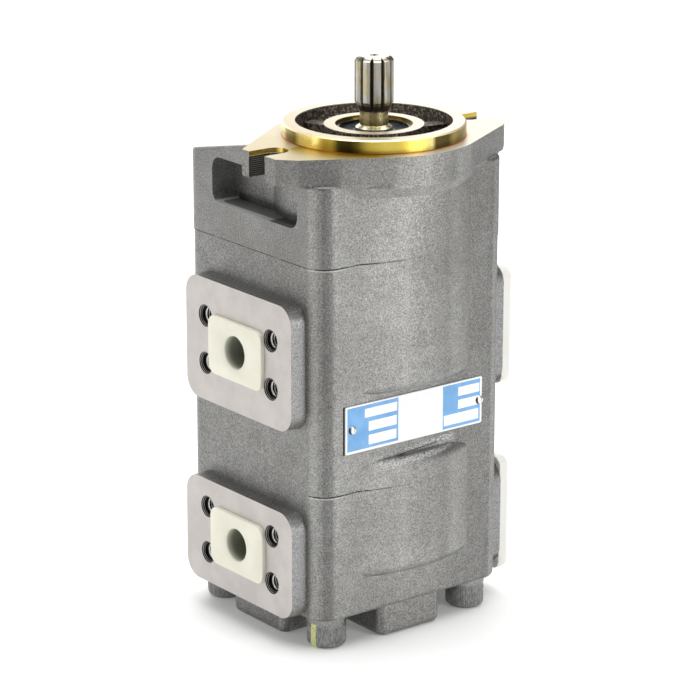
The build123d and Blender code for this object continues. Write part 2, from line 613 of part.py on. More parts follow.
with BuildPart() as rear_housing:
    add(body_section(BODY_END_LEVEL, JOINT_LEVEL_REAR))
    fillet(rear_housing.edges().group_by(Axis.Z)[0], BODY_EDGE)
    for facing in (-1, 1):
        add(bulge(REAR_BULGE_END, JOINT_LEVEL_REAR + BULGE_ROUNDING, facing))
    with BuildSketch(Plane.XY.offset(JOINT_LEVEL_REAR)) as above_joint:
        with Locations((0, BODY_Y)):
            Rectangle(2 * BODY_WIDTH, 2 * BODY_DEPTH)
    extrude(amount=2 * BULGE_ROUNDING, mode=Mode.SUBTRACT)
    for side in (-1, 1):
        add(port_pad(side, REAR_PAD_LEVEL, REAR_PAD_HEIGHT, REAR_PAD_EXTRA))
    # The cross-shaped foot between the screw heads
    add(foot_arm(BODY_WIDTH - 2 * FOOT_INSET_X, FOOT_ARM_WIDTH_Y))
    add(foot_arm(FOOT_ARM_WIDTH_X, BODY_DEPTH - 2 * FOOT_INSET_Y))
    # Gear chamber, and the blind journal bores in its floor
    add(figure_eight(CHAMBER_RADIUS, REAR_CHAMBER_FLOOR, JOINT_LEVEL_REAR), mode=Mode.SUBTRACT)
    add(round_bars(GEAR_AXES, BUSH_OUTER_RADIUS, FLOOR_BORE_END, REAR_CHAMBER_FLOOR), mode=Mode.SUBTRACT)
    add(
        port_cut(-1, REAR_PORT_LEVEL, OUTLET_DIAMETER, OUTLET_BOLT_SPACING_Y, OUTLET_BOLT_SPACING_Z),
        mode=Mode.SUBTRACT,
    )
    add(
        port_cut(1, REAR_PORT_LEVEL, INLET_DIAMETER, INLET_BOLT_SPACING_Y, INLET_BOLT_SPACING_Z),
        mode=Mode.SUBTRACT,
    )
    add(
        ring_eight(
            CHAMBER_RADIUS + JOINT_SEAL_WALL + JOINT_SEAL_WIDTH,
            CHAMBER_RADIUS + JOINT_SEAL_WALL,
            JOINT_LEVEL_REAR - JOINT_SEAL_DEPTH,
            JOINT_LEVEL_REAR,
        ),
        mode=Mode.SUBTRACT,
    )
    add(
        round_bars(
            SCREW_POINTS,
            SCREW_DIAMETER / 2 + SCREW_HOLE_CLEARANCE,
            BODY_END_LEVEL,
            JOINT_LEVEL_REAR,
        ),
        mode=Mode.SUBTRACT,
    )
    add(
        round_bars(
            DOWEL_POINTS,
            DOWEL_DIAMETER / 2,
            JOINT_LEVEL_REAR - DOWEL_LENGTH / 2,
            JOINT_LEVEL_REAR,
        ),
        mode=Mode.SUBTRACT,
    )
save(rear_housing, "rear_housing")


# Gears and shafts

def gear_profile(turn):
    """An involute gear, turned about its own centre, with a tooth on +X at no turn."""
    base_radius = PITCH_RADIUS * cos(radians(PRESSURE_ANGLE))
    pressure = radians(PRESSURE_ANGLE)
    half_tooth = pi / (2 * GEAR_TEETH) - TOOTH_BACKLASH / (4 * PITCH_RADIUS)
    base_half = half_tooth + tan(pressure) - pressure
    flank = []
    steps = 5
    for step in range(steps + 1):
        radius = base_radius + (TIP_RADIUS - base_radius) * step / steps
        roll = sqrt((radius / base_radius) ** 2 - 1)
        angle = base_half - (roll - atan(roll))
        flank.append((radius * cos(angle), radius * sin(angle)))
    root = (ROOT_RADIUS * cos(base_half) - 0.5, ROOT_RADIUS * sin(base_half))
    with BuildSketch() as tooth:
        with BuildLine():
            upper = Spline(*flank)
            lower = Spline(*[(x, -y) for x, y in flank])
            ThreePointArc(upper @ 1, (TIP_RADIUS, 0), lower @ 1)
            Polyline(upper @ 0, root, (root[0], -root[1]), lower @ 0)
        make_face()
    with BuildSketch() as outline:
        Circle(ROOT_RADIUS)
        with PolarLocations(0, GEAR_TEETH, turn):
            add(tooth.sketch)
    return outline.sketch


def gear_blank(axis_point, bottom, width, turn):
    """The toothed part of a gear."""
    with BuildPart() as blank:
        with BuildSketch(Plane(origin=(*axis_point, bottom))):
            add(gear_profile(turn))
        extrude(amount=width)
    return blank.part


def journal(axis_point, start, end, radius=JOURNAL_DIAMETER / 2):
    """A plain length of shaft, chamfered at its far end."""
    with BuildPart() as bar:
        with BuildSketch(Plane(origin=(*axis_point, min(start, end)))):
            Circle(radius)
        extrude(amount=abs(end - start))
        far_edges = bar.edges().filter_by(GeomType.CIRCLE).sort_by(Axis.Z)
        chamfer(far_edges[-1 if end > start else 0], JOURNAL_CHAMFER)
    return bar.part


def coupling_tail(start, end, fit=0.0):
    """The straight-sided teeth that the coupling sleeve slides over."""
    with BuildPart() as tail:
        with BuildSketch(Plane.XY.offset(min(start, end))):
            with PolarLocations(COUPLING_TIP_DIAMETER / 4, COUPLING_TEETH):
                Rectangle(COUPLING_TIP_DIAMETER / 2 + 2.0, COUPLING_TOOTH_WIDTH + 2 * fit)
            Circle(COUPLING_TIP_DIAMETER / 2 + fit, mode=Mode.INTERSECT)
            Circle(COUPLING_ROOT_DIAMETER / 2 + fit)
        extrude(amount=abs(end - start))
    return tail.part


with BuildPart() as drive_shaft:
    # Turned outline, from the top down
    land = SEAL_LAND_DIAMETER / 2
    shoulder = SHOULDER_DIAMETER / 2
    bearing = JOURNAL_DIAMETER / 2
    neck = NECK_DIAMETER / 2
    spline_root = SPLINE_ROOT_DIAMETER / 2
    with BuildSketch(Plane.XZ) as turned:
        with BuildLine():
            Polyline(
                (0, SHAFT_TOP),
                (spline_root, SHAFT_TOP),
                (spline_root, SPLINE_END),
                (neck, SPLINE_END - (spline_root - neck)),
                (neck, NECK_START),
                (land, NECK_START - FLARE_HEIGHT),
                (land, SEAL_BOTTOM),
                (shoulder, SEAL_BOTTOM - (shoulder - land)),
                (shoulder, JOINT_LEVEL_FRONT - JOURNAL_END_GAP),
                (bearing - JOURNAL_CHAMFER, JOINT_LEVEL_FRONT - JOURNAL_END_GAP),
                (bearing, JOINT_LEVEL_FRONT - JOURNAL_END_GAP - JOURNAL_CHAMFER),
                (bearing, FRONT_GEAR_TOP),
                (0, FRONT_GEAR_TOP),
                close=True,
            )
        make_face()
    revolve(axis=Axis.Z)
    # Spline teeth, trimmed to a chamfered top
    with BuildSketch(Plane.XY.offset(SPLINE_END)) as spline_teeth:
        with PolarLocations(0, SPLINE_TEETH, SPLINE_TURN):
            Polygon(
                (0, 0),
                (spline_root - 1.0, -SPLINE_TOOTH_WIDTH / 2 - SPLINE_FLANK_SPREAD),
                (SPLINE_DIAMETER / 2 + 1.0, -SPLINE_TOOTH_WIDTH / 2),
                (SPLINE_DIAMETER / 2 + 1.0, SPLINE_TOOTH_WIDTH / 2),
                (spline_root - 1.0, SPLINE_TOOTH_WIDTH / 2 + SPLINE_FLANK_SPREAD),
                align=None,
            )
        Circle(SPLINE_DIAMETER / 2, mode=Mode.INTERSECT)
    extrude(amount=SHAFT_TOP - SPLINE_END)
    rim = SPLINE_DIAMETER / 2
    with BuildSketch(Plane.XZ) as run_out:
        steepness = SPLINE_RUNOUT / (rim - spline_root)
        with BuildLine():
            Polyline(
                (spline_root + 0.05, SPLINE_END - 0.5),
                (spline_root + 0.05, SPLINE_END),
                (rim + 1.0, SPLINE_END + steepness * (rim + 1.0 - spline_root)),
                (rim + 1.0, SPLINE_END - 0.5),
                close=True,
            )
        make_face()
    revolve(axis=Axis.Z, mode=Mode.SUBTRACT)
    with BuildSketch(Plane.XZ) as end_chamfer:
        with BuildLine():
            Polyline(
                (rim - SHAFT_CHAMFER, SHAFT_TOP),
                (rim + 1.0, SHAFT_TOP - SHAFT_CHAMFER - 1.0),
                (rim + 1.0, SHAFT_TOP),
                close=True,
            )
        make_face()
    revolve(axis=Axis.Z, mode=Mode.SUBTRACT)
    with Locations((0, 0, SHAFT_TOP)):
        Cone(
            0.4,
            CENTRE_HOLE_DIAMETER / 2,
            CENTRE_HOLE_DEPTH,
            align=(Align.CENTER, Align.CENTER, Align.MAX),
            mode=Mode.SUBTRACT,
        )
    # The front drive gear, its lower journal and the coupling teeth
    add(gear_blank(GEAR_AXES[0], FRONT_GEAR_BOTTOM, FRONT_GEAR_WIDTH, 0))
    add(journal(GEAR_AXES[0], FRONT_GEAR_BOTTOM, FRONT_CHAMBER_FLOOR + JOURNAL_END_GAP))
    add(coupling_tail(FRONT_CHAMBER_FLOOR + 2 * JOURNAL_END_GAP, COUPLING_MIDDLE + COUPLING_END_GAP))
save(drive_shaft, "drive_shaft")

# A driven gear is turned by half a pitch, so that its gap faces the drive gear's tooth
MESH_TURN = 180 / GEAR_TEETH

with BuildPart() as front_driven_gear:
    add(gear_blank(GEAR_AXES[1], FRONT_GEAR_BOTTOM, FRONT_GEAR_WIDTH, MESH_TURN))
    add(journal(GEAR_AXES[1], FRONT_GEAR_TOP, JOINT_LEVEL_FRONT - JOURNAL_END_GAP))
    add(journal(GEAR_AXES[1], FRONT_GEAR_BOTTOM, FRONT_CHAMBER_FLOOR + JOURNAL_END_GAP))
save(front_driven_gear, "front_driven_gear")

with BuildPart() as rear_drive_gear:
    add(gear_blank(GEAR_AXES[0], REAR_GEAR_BOTTOM, REAR_GEAR_WIDTH, 0))
    add(journal(GEAR_AXES[0], REAR_GEAR_TOP, JOINT_LEVEL_REAR - JOURNAL_END_GAP))
    add(journal(GEAR_AXES[0], REAR_GEAR_BOTTOM, FLOOR_BORE_END + JOURNAL_END_GAP))
    add(coupling_tail(JOINT_LEVEL_REAR - 2 * JOURNAL_END_GAP, COUPLING_MIDDLE - COUPLING_END_GAP))
save(rear_drive_gear, "rear_drive_gear")

with BuildPart() as rear_driven_gear:
    add(gear_blank(GEAR_AXES[1], REAR_GEAR_BOTTOM, REAR_GEAR_WIDTH, MESH_TURN))
    add(journal(GEAR_AXES[1], REAR_GEAR_TOP, JOINT_LEVEL_REAR - JOURNAL_END_GAP))
    add(journal(GEAR_AXES[1], REAR_GEAR_BOTTOM, FLOOR_BORE_END + JOURNAL_END_GAP))
save(rear_driven_gear, "rear_driven_gear")

with BuildPart() as coupling_sleeve:
    with BuildSketch(Plane.XY.offset(SLEEVE_BOTTOM)):
        Circle(SLEEVE_RADIUS)
    extrude(amount=SLEEVE_TOP - SLEEVE_BOTTOM)
    add(coupling_tail(SLEEVE_BOTTOM, SLEEVE_TOP, COUPLING_FIT), mode=Mode.SUBTRACT)
save(coupling_sleeve, "coupling_sleeve")


# Bearing blocks with their bushes and pressure seals

def bearing_block(bottom, top, bore_radius, seal_face):
    """A figure-of-eight block with two bores, and a seal groove in its top (1) or bottom (-1)."""
    with BuildPart() as block:
        add(figure_eight(BLOCK_RADIUS, bottom, top))
        add(round_bars(GEAR_AXES, bore_radius, bottom, top), mode=Mode.SUBTRACT)
        add(seal_band(bottom, top, seal_face), mode=Mode.SUBTRACT)
    return block


def seal_band(bottom, top, seal_face):
    """The band that lies in a block's seal groove."""
    outer = BLOCK_RADIUS - SEAL_RING_INSET
    start = top - SEAL_RING_DEPTH if seal_face > 0 else bottom
    return ring_eight(outer, outer - SEAL_RING_WIDTH, start, start + SEAL_RING_DEPTH)


def plain_bush(axis_point, bottom, top):
    """A thin-walled bearing bush."""
    with BuildPart() as bush:
        with BuildSketch(Plane(origin=(*axis_point, bottom))):
            Circle(BUSH_OUTER_RADIUS)
            Circle(BUSH_INNER_RADIUS, mode=Mode.SUBTRACT)
        extrude(amount=top - bottom)
    return bush


BLOCKS = (
    ("front_upper", FRONT_GEAR_TOP + FACE_CLEARANCE, JOINT_LEVEL_FRONT, BUSH_OUTER_RADIUS, 1),
    ("front_lower", FRONT_CHAMBER_FLOOR, FRONT_GEAR_BOTTOM - FACE_CLEARANCE, BUSH_OUTER_RADIUS, -1),
    ("rear_upper", REAR_GEAR_TOP + FACE_CLEARANCE, JOINT_LEVEL_REAR, BUSH_OUTER_RADIUS, 1),
    (
        "rear_lower",
        REAR_CHAMBER_FLOOR,
        REAR_GEAR_BOTTOM - FACE_CLEARANCE,
        JOURNAL_DIAMETER / 2 + BLOCK_BORE_CLEARANCE,
        -1,
    ),
)
for name, bottom, top, bore_radius, seal_face in BLOCKS:
    save(bearing_block(bottom, top, bore_radius, seal_face), f"{name}_block")
    with BuildPart() as pressure_seal:
        add(seal_band(bottom, top, seal_face))
    save(pressure_seal, f"{name}_pressure_seal")

BUSH_SPANS = (
    ("front_upper", FRONT_GEAR_TOP + FACE_CLEARANCE, JOINT_LEVEL_FRONT),
    ("front_lower", FRONT_CHAMBER_FLOOR, FRONT_GEAR_BOTTOM - FACE_CLEARANCE),
    ("rear_upper", REAR_GEAR_TOP + FACE_CLEARANCE, JOINT_LEVEL_REAR),
    ("rear_lower", FLOOR_BORE_END, REAR_CHAMBER_FLOOR),
)
for name, bottom, top in BUSH_SPANS:
    for axis_point, gear in zip(GEAR_AXES, ("drive", "driven")):
        save(plain_bush(axis_point, bottom + BUSH_END_GAP, top - BUSH_END_GAP), f"{name}_{gear}_bush")


# Shaft seal and its retaining ring

with BuildPart() as shaft_seal:
    case = SEAL_DIAMETER / 2
    lip = SEAL_LIP_RADIUS
    with BuildSketch(Plane.XZ):
        with BuildLine():
            Polyline(
                (case, SEAL_BOTTOM),
                (case, SEAL_TOP),
                (lip, SEAL_TOP),
                (lip, SEAL_TOP - SEAL_LIP_HEIGHT),
                (lip + SEAL_LIP_WIDTH, SEAL_TOP - SEAL_LIP_HEIGHT),
                (lip + SEAL_LIP_WIDTH, SEAL_TOP - SEAL_WEB),
                (case - SEAL_CASE_WALL, SEAL_TOP - SEAL_WEB),
                (case - SEAL_CASE_WALL, SEAL_BOTTOM),
                close=True,
            )
        make_face()
    revolve(axis=Axis.Z)
save(shaft_seal, "shaft_seal")

with BuildPart() as seal_retaining_ring:
    ring_outer = SEAL_DIAMETER / 2 + RING_GROOVE_DEPTH
    with BuildSketch(Plane.XY.offset(SEAL_TOP)):
        Circle(ring_outer)
        Circle(ring_outer - RING_RADIAL_WIDTH, mode=Mode.SUBTRACT)
        with Locations((0, -ring_outer)):
            Rectangle(RING_GAP, 4 * RING_RADIAL_WIDTH, mode=Mode.SUBTRACT)
    extrude(amount=RING_THICKNESS)
save(seal_retaining_ring, "seal_retaining_ring")


# Seals, dowels, screws and washers that join the castings

for name, level in (("front", JOINT_LEVEL_FRONT), ("rear", JOINT_LEVEL_REAR)):
    with BuildPart() as joint_seal:
        add(
            ring_eight(
                CHAMBER_RADIUS + JOINT_SEAL_WALL + JOINT_SEAL_WIDTH,
                CHAMBER_RADIUS + JOINT_SEAL_WALL,
                level - JOINT_SEAL_DEPTH,
                level,
            )
        )
    save(joint_seal, f"{name}_joint_seal")
    for point, hand in zip(DOWEL_POINTS, ("left", "right")):
        with BuildPart() as dowel:
            with BuildSketch(Plane(origin=(*point, level - DOWEL_LENGTH / 2))):
                Circle(DOWEL_DIAMETER / 2)
            extrude(amount=DOWEL_LENGTH)
            chamfer(dowel.edges().filter_by(GeomType.CIRCLE), DOWEL_CHAMFER)
        save(dowel, f"{name}_{hand}_dowel")

for point, name in zip(SCREW_POINTS, SCREW_NAMES):
    with BuildPart() as screw:
        with BuildSketch(Plane(origin=(*point, WASHER_LEVEL))):
            Circle(SCREW_DIAMETER / 2)
        extrude(amount=SCREW_TIP_LEVEL - WASHER_LEVEL)
        chamfer(screw.edges().filter_by(GeomType.CIRCLE).sort_by(Axis.Z)[-1], SCREW_TIP_CHAMFER)
        with BuildSketch(Plane(origin=(*point, WASHER_LEVEL))):
            Circle(SCREW_HEAD_DIAMETER / 2)
        extrude(amount=-SCREW_HEAD_HEIGHT)
        chamfer(screw.edges().filter_by(GeomType.CIRCLE).sort_by(Axis.Z)[0], SCREW_HEAD_CHAMFER)
        with BuildSketch(Plane(origin=(*point, WASHER_LEVEL - SCREW_HEAD_HEIGHT))):
            RegularPolygon(SCREW_SOCKET_WIDTH / 2, 6, major_radius=False)
        extrude(amount=SCREW_SOCKET_DEPTH, mode=Mode.SUBTRACT)
    save(screw, f"{name}_screw")
    with BuildPart() as washer:
        with BuildSketch(Plane(origin=(*point, WASHER_LEVEL))):
            Circle(WASHER_DIAMETER / 2)
            Circle(SCREW_DIAMETER / 2 + WASHER_BORE_CLEARANCE, mode=Mode.SUBTRACT)
            with Locations((0, copysign(WASHER_DIAMETER / 2, BODY_Y - point[1]))):
                Rectangle(WASHER_SPLIT, WASHER_DIAMETER / 2, mode=Mode.SUBTRACT)
        extrude(amount=WASHER_THICKNESS)
    save(washer, f"{name}_washer")


# Port plugs and port covers

for name, level in (("front", FRONT_PORT_LEVEL), ("rear", REAR_PORT_LEVEL)):
    face = side_plane(-1, level)
    with BuildPart() as outlet_plug:
        with BuildSketch(face):
            RectangleRounded(PLUG_WIDTH, PLUG_HEIGHT, PLUG_CORNER)
        extrude(amount=PLUG_HEAD)
        fillet(outlet_plug.edges().group_by(Axis.X)[0], PLUG_EDGE)
        with BuildSketch(face):
            Circle(PLUG_RADIUS)
        extrude(amount=-PLUG_BARREL_LENGTH)
        with BuildSketch(face.offset(PLUG_HEAD)):
            Circle(PLUG_RADIUS - PLUG_WALL)
        extrude(amount=-PLUG_HOLE_DEPTH, mode=Mode.SUBTRACT)
    save(outlet_plug, f"{name}_outlet_plug")

for name, level in (("front", FRONT_PORT_LEVEL), ("rear", REAR_PORT_LEVEL)):
    face = side_plane(1, level)
    with BuildPart() as inlet_cover:
        with BuildSketch(side_plane(1, level - PORT_COVER_DROP)):
            RectangleRounded(PORT_COVER_WIDTH, PORT_COVER_HEIGHT, PORT_COVER_CORNER)
        extrude(amount=PORT_COVER_THICKNESS)
        fillet(inlet_cover.edges().group_by(Axis.X)[-1], PORT_COVER_EDGE)
        with BuildSketch(face):
            Circle(SPIGOT_RADIUS)
        extrude(amount=-PORT_COVER_SPIGOT)
        with BuildSketch(face.offset(PORT_COVER_THICKNESS)):
            Circle(SPIGOT_RADIUS - PORT_COVER_DISH_WALL)
        extrude(amount=-PORT_COVER_DISH_DEPTH, mode=Mode.SUBTRACT)
    save(inlet_cover, f"{name}_inlet_cover")


# Name plate and rivets

with BuildPart() as name_plate:
    with BuildSketch(Plane.XZ.offset(-FRONT_Y)):
        with Locations((PLATE_OFFSET, PLATE_LEVEL)):
            RectangleRounded(PLATE_WIDTH, PLATE_HEIGHT, PLATE_CORNER)
        with Locations(*RIVET_POINTS):
            Circle(RIVET_SHANK_DIAMETER / 2, mode=Mode.SUBTRACT)
    extrude(amount=PLATE_THICKNESS)
save(name_plate, "name_plate")

for (x, level), hand in zip(RIVET_POINTS, ("left", "right")):
    with BuildPart() as rivet:
        with BuildSketch(Plane(origin=(x, FRONT_Y, level), x_dir=(1, 0, 0), z_dir=(0, -1, 0))):
            Circle(RIVET_SHANK_DIAMETER / 2)
        extrude(amount=-RIVET_SHANK_LENGTH)
        extrude(rivet.faces().sort_by(Axis.Y)[0], amount=PLATE_THICKNESS)
        outside = Plane(origin=(x, FRONT_Y - PLATE_THICKNESS, level), x_dir=(1, 0, 0), z_dir=(0, -1, 0))
        with BuildSketch(outside):
            Circle(RIVET_HEAD_DIAMETER / 2)
        extrude(amount=RIVET_HEAD_HEIGHT)
        fillet(rivet.edges().filter_by(GeomType.CIRCLE).sort_by(Axis.Y)[0], RIVET_HEAD_HEIGHT * 0.9)
    save(rivet, f"{hand}_rivet")
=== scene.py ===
import bmesh
import bpy
from math import atan2, cos, pi, radians, sin
from mathutils import Matrix, Vector


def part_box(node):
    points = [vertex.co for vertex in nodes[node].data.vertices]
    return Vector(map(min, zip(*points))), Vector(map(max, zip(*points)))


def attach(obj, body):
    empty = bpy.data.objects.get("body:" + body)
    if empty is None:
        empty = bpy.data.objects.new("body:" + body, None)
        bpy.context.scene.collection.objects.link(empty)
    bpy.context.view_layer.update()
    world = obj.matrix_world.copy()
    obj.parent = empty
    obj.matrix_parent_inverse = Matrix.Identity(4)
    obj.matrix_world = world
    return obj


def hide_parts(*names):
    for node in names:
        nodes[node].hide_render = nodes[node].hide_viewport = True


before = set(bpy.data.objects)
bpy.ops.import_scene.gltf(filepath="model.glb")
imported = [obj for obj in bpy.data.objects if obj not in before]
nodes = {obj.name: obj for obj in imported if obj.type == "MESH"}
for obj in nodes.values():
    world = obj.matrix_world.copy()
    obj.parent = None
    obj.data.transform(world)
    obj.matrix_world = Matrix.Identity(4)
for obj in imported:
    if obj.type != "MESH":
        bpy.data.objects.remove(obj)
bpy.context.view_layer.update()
scene = bpy.context.scene
MM = 0.001

# Camera, floor and studio lights

FLOOR_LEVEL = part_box("rear_housing")[0].z
CAMERA_PLACE = (-1.037956, -1.324634, 0.390756)
CAMERA_TURN = (72.97998, -0.07650, -37.61658)
CAMERA_LENS = 161.4857
CAMERA_SENSOR = 36.0
LIGHT_TARGET = (0.0, 0.0, -0.12)
SOFTBOX_RADIUS = 1.3
SOFTBOX_HEIGHT = 0.2


def photo_camera():
    """The camera, where the photograph was taken from."""
    lens = bpy.data.cameras.new("photo_camera")
    lens.lens = CAMERA_LENS
    lens.sensor_width = CAMERA_SENSOR
    lens.clip_start = 0.05
    lens.clip_end = 50.0
    camera = bpy.data.objects.new("photo_camera", lens)
    scene.collection.objects.link(camera)
    camera.location = CAMERA_PLACE
    camera.rotation_euler = [radians(angle) for angle in CAMERA_TURN]
    scene.camera = camera


def softbox(name, place, width, height, power):
    """A soft rectangular studio light, turned to the pump."""
    light = bpy.data.lights.new(name, "AREA")
    light.shape = "RECTANGLE"
    light.size = width
    light.size_y = height
    light.energy = power
    box = bpy.data.objects.new(name, light)
    scene.collection.objects.link(box)
    box.location = place
    box.rotation_euler = (Vector(LIGHT_TARGET) - Vector(place)).to_track_quat("-Z", "Y").to_euler()


# Materials: a value in a material, and the material itself

class Value:
    """A number, colour or vector in a material. Arithmetic on it adds Math nodes."""

    def __init__(self, finish, socket):
        self.finish = finish
        self.socket = socket

    def math(self, operation, *inputs):
        return self.finish.node("ShaderNodeMath", {"operation": operation}, inputs)

    def __add__(self, other):
        return self.math("ADD", self, other)

    __radd__ = __add__

    def __sub__(self, other):
        return self.math("SUBTRACT", self, other)

    def __rsub__(self, other):
        return self.math("SUBTRACT", other, self)

    def __mul__(self, other):
        return self.math("MULTIPLY", self, other)

    __rmul__ = __mul__

    def __truediv__(self, other):
        return self.math("DIVIDE", self, other)

    def __rtruediv__(self, other):
        return self.math("DIVIDE", other, self)

    def __pow__(self, other):
        return self.math("POWER", self, other)

    def __gt__(self, other):
        return self.math("GREATER_THAN", self, other)

    def __lt__(self, other):
        return self.math("LESS_THAN", self, other)

    def __neg__(self):
        return self.math("MULTIPLY", self, -1.0)

    def __abs__(self):
        return self.math("ABSOLUTE", self)

    def __or__(self, other):
        return self.math("MAXIMUM", self, other)

    def __and__(self, other):
        return self.math("MINIMUM", self, other)


class Finish:
    """A procedural material, made of nodes that read the piece's own coordinates in millimetres."""

    def __init__(self, name):
        self.material = bpy.data.materials.new(name)
        self.material.use_nodes = True
        self.tree = self.material.node_tree
        self.tree.nodes.clear()
        place = self.node("ShaderNodeTexCoord", output="Object")
        self.place = self.node("ShaderNodeVectorMath", {"operation": "SCALE"}, {0: place, "Scale": 1000.0})
        self.x, self.y, self.z = self.parts(self.place)
        self.nx, self.ny, self.nz = self.parts(self.node("ShaderNodeTexCoord", output="Normal"))

    def node(self, kind, settings=None, inputs=(), output=0):
        """Any node: its type, its settings, and the values or links of its sockets."""
        made = self.tree.nodes.new(kind)
        for name, setting in (settings or {}).items():
            if name == "stops":
                ramp = made.color_ramp
                while len(ramp.elements) < len(setting):
                    ramp.elements.new(0.5)
                for element, (position, colour) in zip(ramp.elements, setting):
                    element.position = position
                    element.color = (*colour, 1.0)
            else:
                setattr(made, name, setting)
        named = {socket.identifier: socket for socket in made.inputs}
        for key, value in inputs.items() if isinstance(inputs, dict) else enumerate(inputs):
            socket = made.inputs[key] if isinstance(key, int) else named.get(key) or made.inputs[key]
            if isinstance(value, Value):
                self.tree.links.new(value.socket, socket)
            elif socket.type == "RGBA":
                socket.default_value = (*value, 1.0)
            else:
                socket.default_value = value
        results = {socket.identifier: socket for socket in made.outputs}
        return Value(self, made.outputs[output] if isinstance(output, int) else results[output])

    def parts(self, vector):
        split = self.node("ShaderNodeSeparateXYZ", inputs=[vector])
        return [Value(self, socket) for socket in split.socket.node.outputs]

    def turn(self, centre_x=0.0, centre_y=0.0):
        """The angle about an upright axis, from -pi to pi."""
        return self.node("ShaderNodeMath", {"operation": "ARCTAN2"}, [self.y - centre_y, self.x - centre_x])

    def mix(self, share, first, second):
        """A colour between two colours."""
        return self.node(
            "ShaderNodeMix",
            {"data_type": "RGBA"},
            {"Factor_Float": share, "A_Color": first, "B_Color": second},
            "Result_Color",
        )

    def shade(self, colour, amount):
        """The colour made darker or brighter by an amount that may vary."""
        return self.node("ShaderNodeVectorMath", {"operation": "SCALE"}, {0: colour, "Scale": amount})

    def step(self, value, start, end, low=0.0, high=1.0):
        """Goes smoothly from low to high as the value goes from start to end."""
        return self.node(
            "ShaderNodeMapRange",
            {"interpolation_type": "SMOOTHSTEP"},
            {"Value": value, "From Min": start, "From Max": end, "To Min": low, "To Max": high},
        )

    def near(self, value, centre, half, soft):
        """One where the value is within half of the centre, with soft edges."""
        return self.step(abs(value - centre), half + soft, half)

    def noise(self, scale, detail=2.0, roughness=0.5, stretch=None):
        """Cloudy noise, with so many features to the millimetre."""
        place = self.place
        if stretch:
            place = self.node("ShaderNodeVectorMath", {"operation": "MULTIPLY"}, [place, stretch])
        return self.node(
            "ShaderNodeTexNoise",
            inputs={"Vector": place, "Scale": scale, "Detail": detail, "Roughness": roughness},
        )

    def wave(self, value, pitch):
        """A sine wave of so many millimetres, from -1 to 1."""
        return self.node("ShaderNodeMath", {"operation": "SINE"}, [value * (2 * pi / pitch)])

    def bump(self, height, depth, strength):
        """A relief of so many millimetres."""
        inputs = {"Height": height, "Distance": depth * MM, "Strength": strength}
        return self.node("ShaderNodeBump", inputs=inputs)

    def surface(self, **sockets):
        """Ends the material in a shader, given the shader's sockets by name."""
        inputs = {name.replace("_", " "): value for name, value in sockets.items()}
        shader = self.node("ShaderNodeBsdfPrincipled", inputs=inputs)
        out = self.tree.nodes.new("ShaderNodeOutputMaterial")
        self.tree.links.new(shader.socket, out.inputs["Surface"])
        return self.material


# Places that the materials need, in millimetres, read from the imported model

def low_high(node):
    """The two corners of a node's box."""
    low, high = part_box(node)
    return low / MM, high / MM


def middle(node):
    """The middle of a node's box."""
    return [(low + high) / 2 for low, high in zip(*low_high(node))]


BODY_LOW, BODY_HIGH = low_high("front_housing")
UPPER_JOINT = BODY_HIGH.z
LOWER_JOINT = BODY_LOW.z
PAD_FACE = -BODY_LOW.x
PORT_Y = middle("front_outlet_plug")[1]
PORT_LEVELS = [middle("front_outlet_plug")[2], middle("rear_outlet_plug")[2]]
PLATE_LOW, PLATE_HIGH = low_high("name_plate")
PLATE_MIDDLE_X, _, PLATE_MIDDLE_Z = middle("name_plate")


def across_plane(first, second):
    """The distance in a plane, from its two parts."""
    return (first * first + second * second) ** 0.5


# Places that only the finishes and the threads need, in millimetres

# The threaded holes of an outlet pad, from its middle along Y and Z
OUTLET_HOLE_REACH = (30.75, 13.8)
HOLE_MOUTH_RADIUS = 6.5
HOLE_MOUTH_DEPTH = 1.2
HOLE_DEPTH = 26.0

# How dark each joint is on the left wall, and where it fades out along the front
UPPER_SEAM = (1.0, 14.0)
LOWER_SEAM = (0.1, 6.0)

# The cover's pilot, hollow, boss, bore and slots
PILOT_RADIUS = 50.9
PILOT_WALL = (49.0, 51.2)
PILOT_TOP = 7.4
HOLLOW_RADIUS = 43.9
HOLLOW_HEIGHTS = (-8.5, 7.3)
BOSS_RADIUS = 29.5
BOSS_SHOULDER = 2.5
BORE_RADIUS = 22.7
BORE_BOTTOM = 2.0
SLOT_HALF_WIDTH = 7.3
SLOT_START = 55.0
SLOT_BOTTOM = -14.5
SLOT_RIB_PITCH = 1.1

# The wrench pockets: their middle and how far they reach from it, along X, Y and Z
POCKET_MIDDLE = (51.0, 19.0, -27.5)
POCKET_REACH = (10.2, 37.4, 13.4)

# The ledge under the name plate, and how it rises along X
LEDGE_LEVEL = -173.6
LEDGE_RISE = 0.075

# The shaft's grooves, tooth run-outs, neck and flare
GROOVE_HEIGHTS = (14.0, 43.0)
NECK_LEVEL = 9.0
FLARE_TOP = 6.0


# Finishes of the castings

SAND_DEPTH = 0.30
GREY_DARK = (0.236, 0.233, 0.223)
GREY_LIGHT = (0.272, 0.270, 0.260)


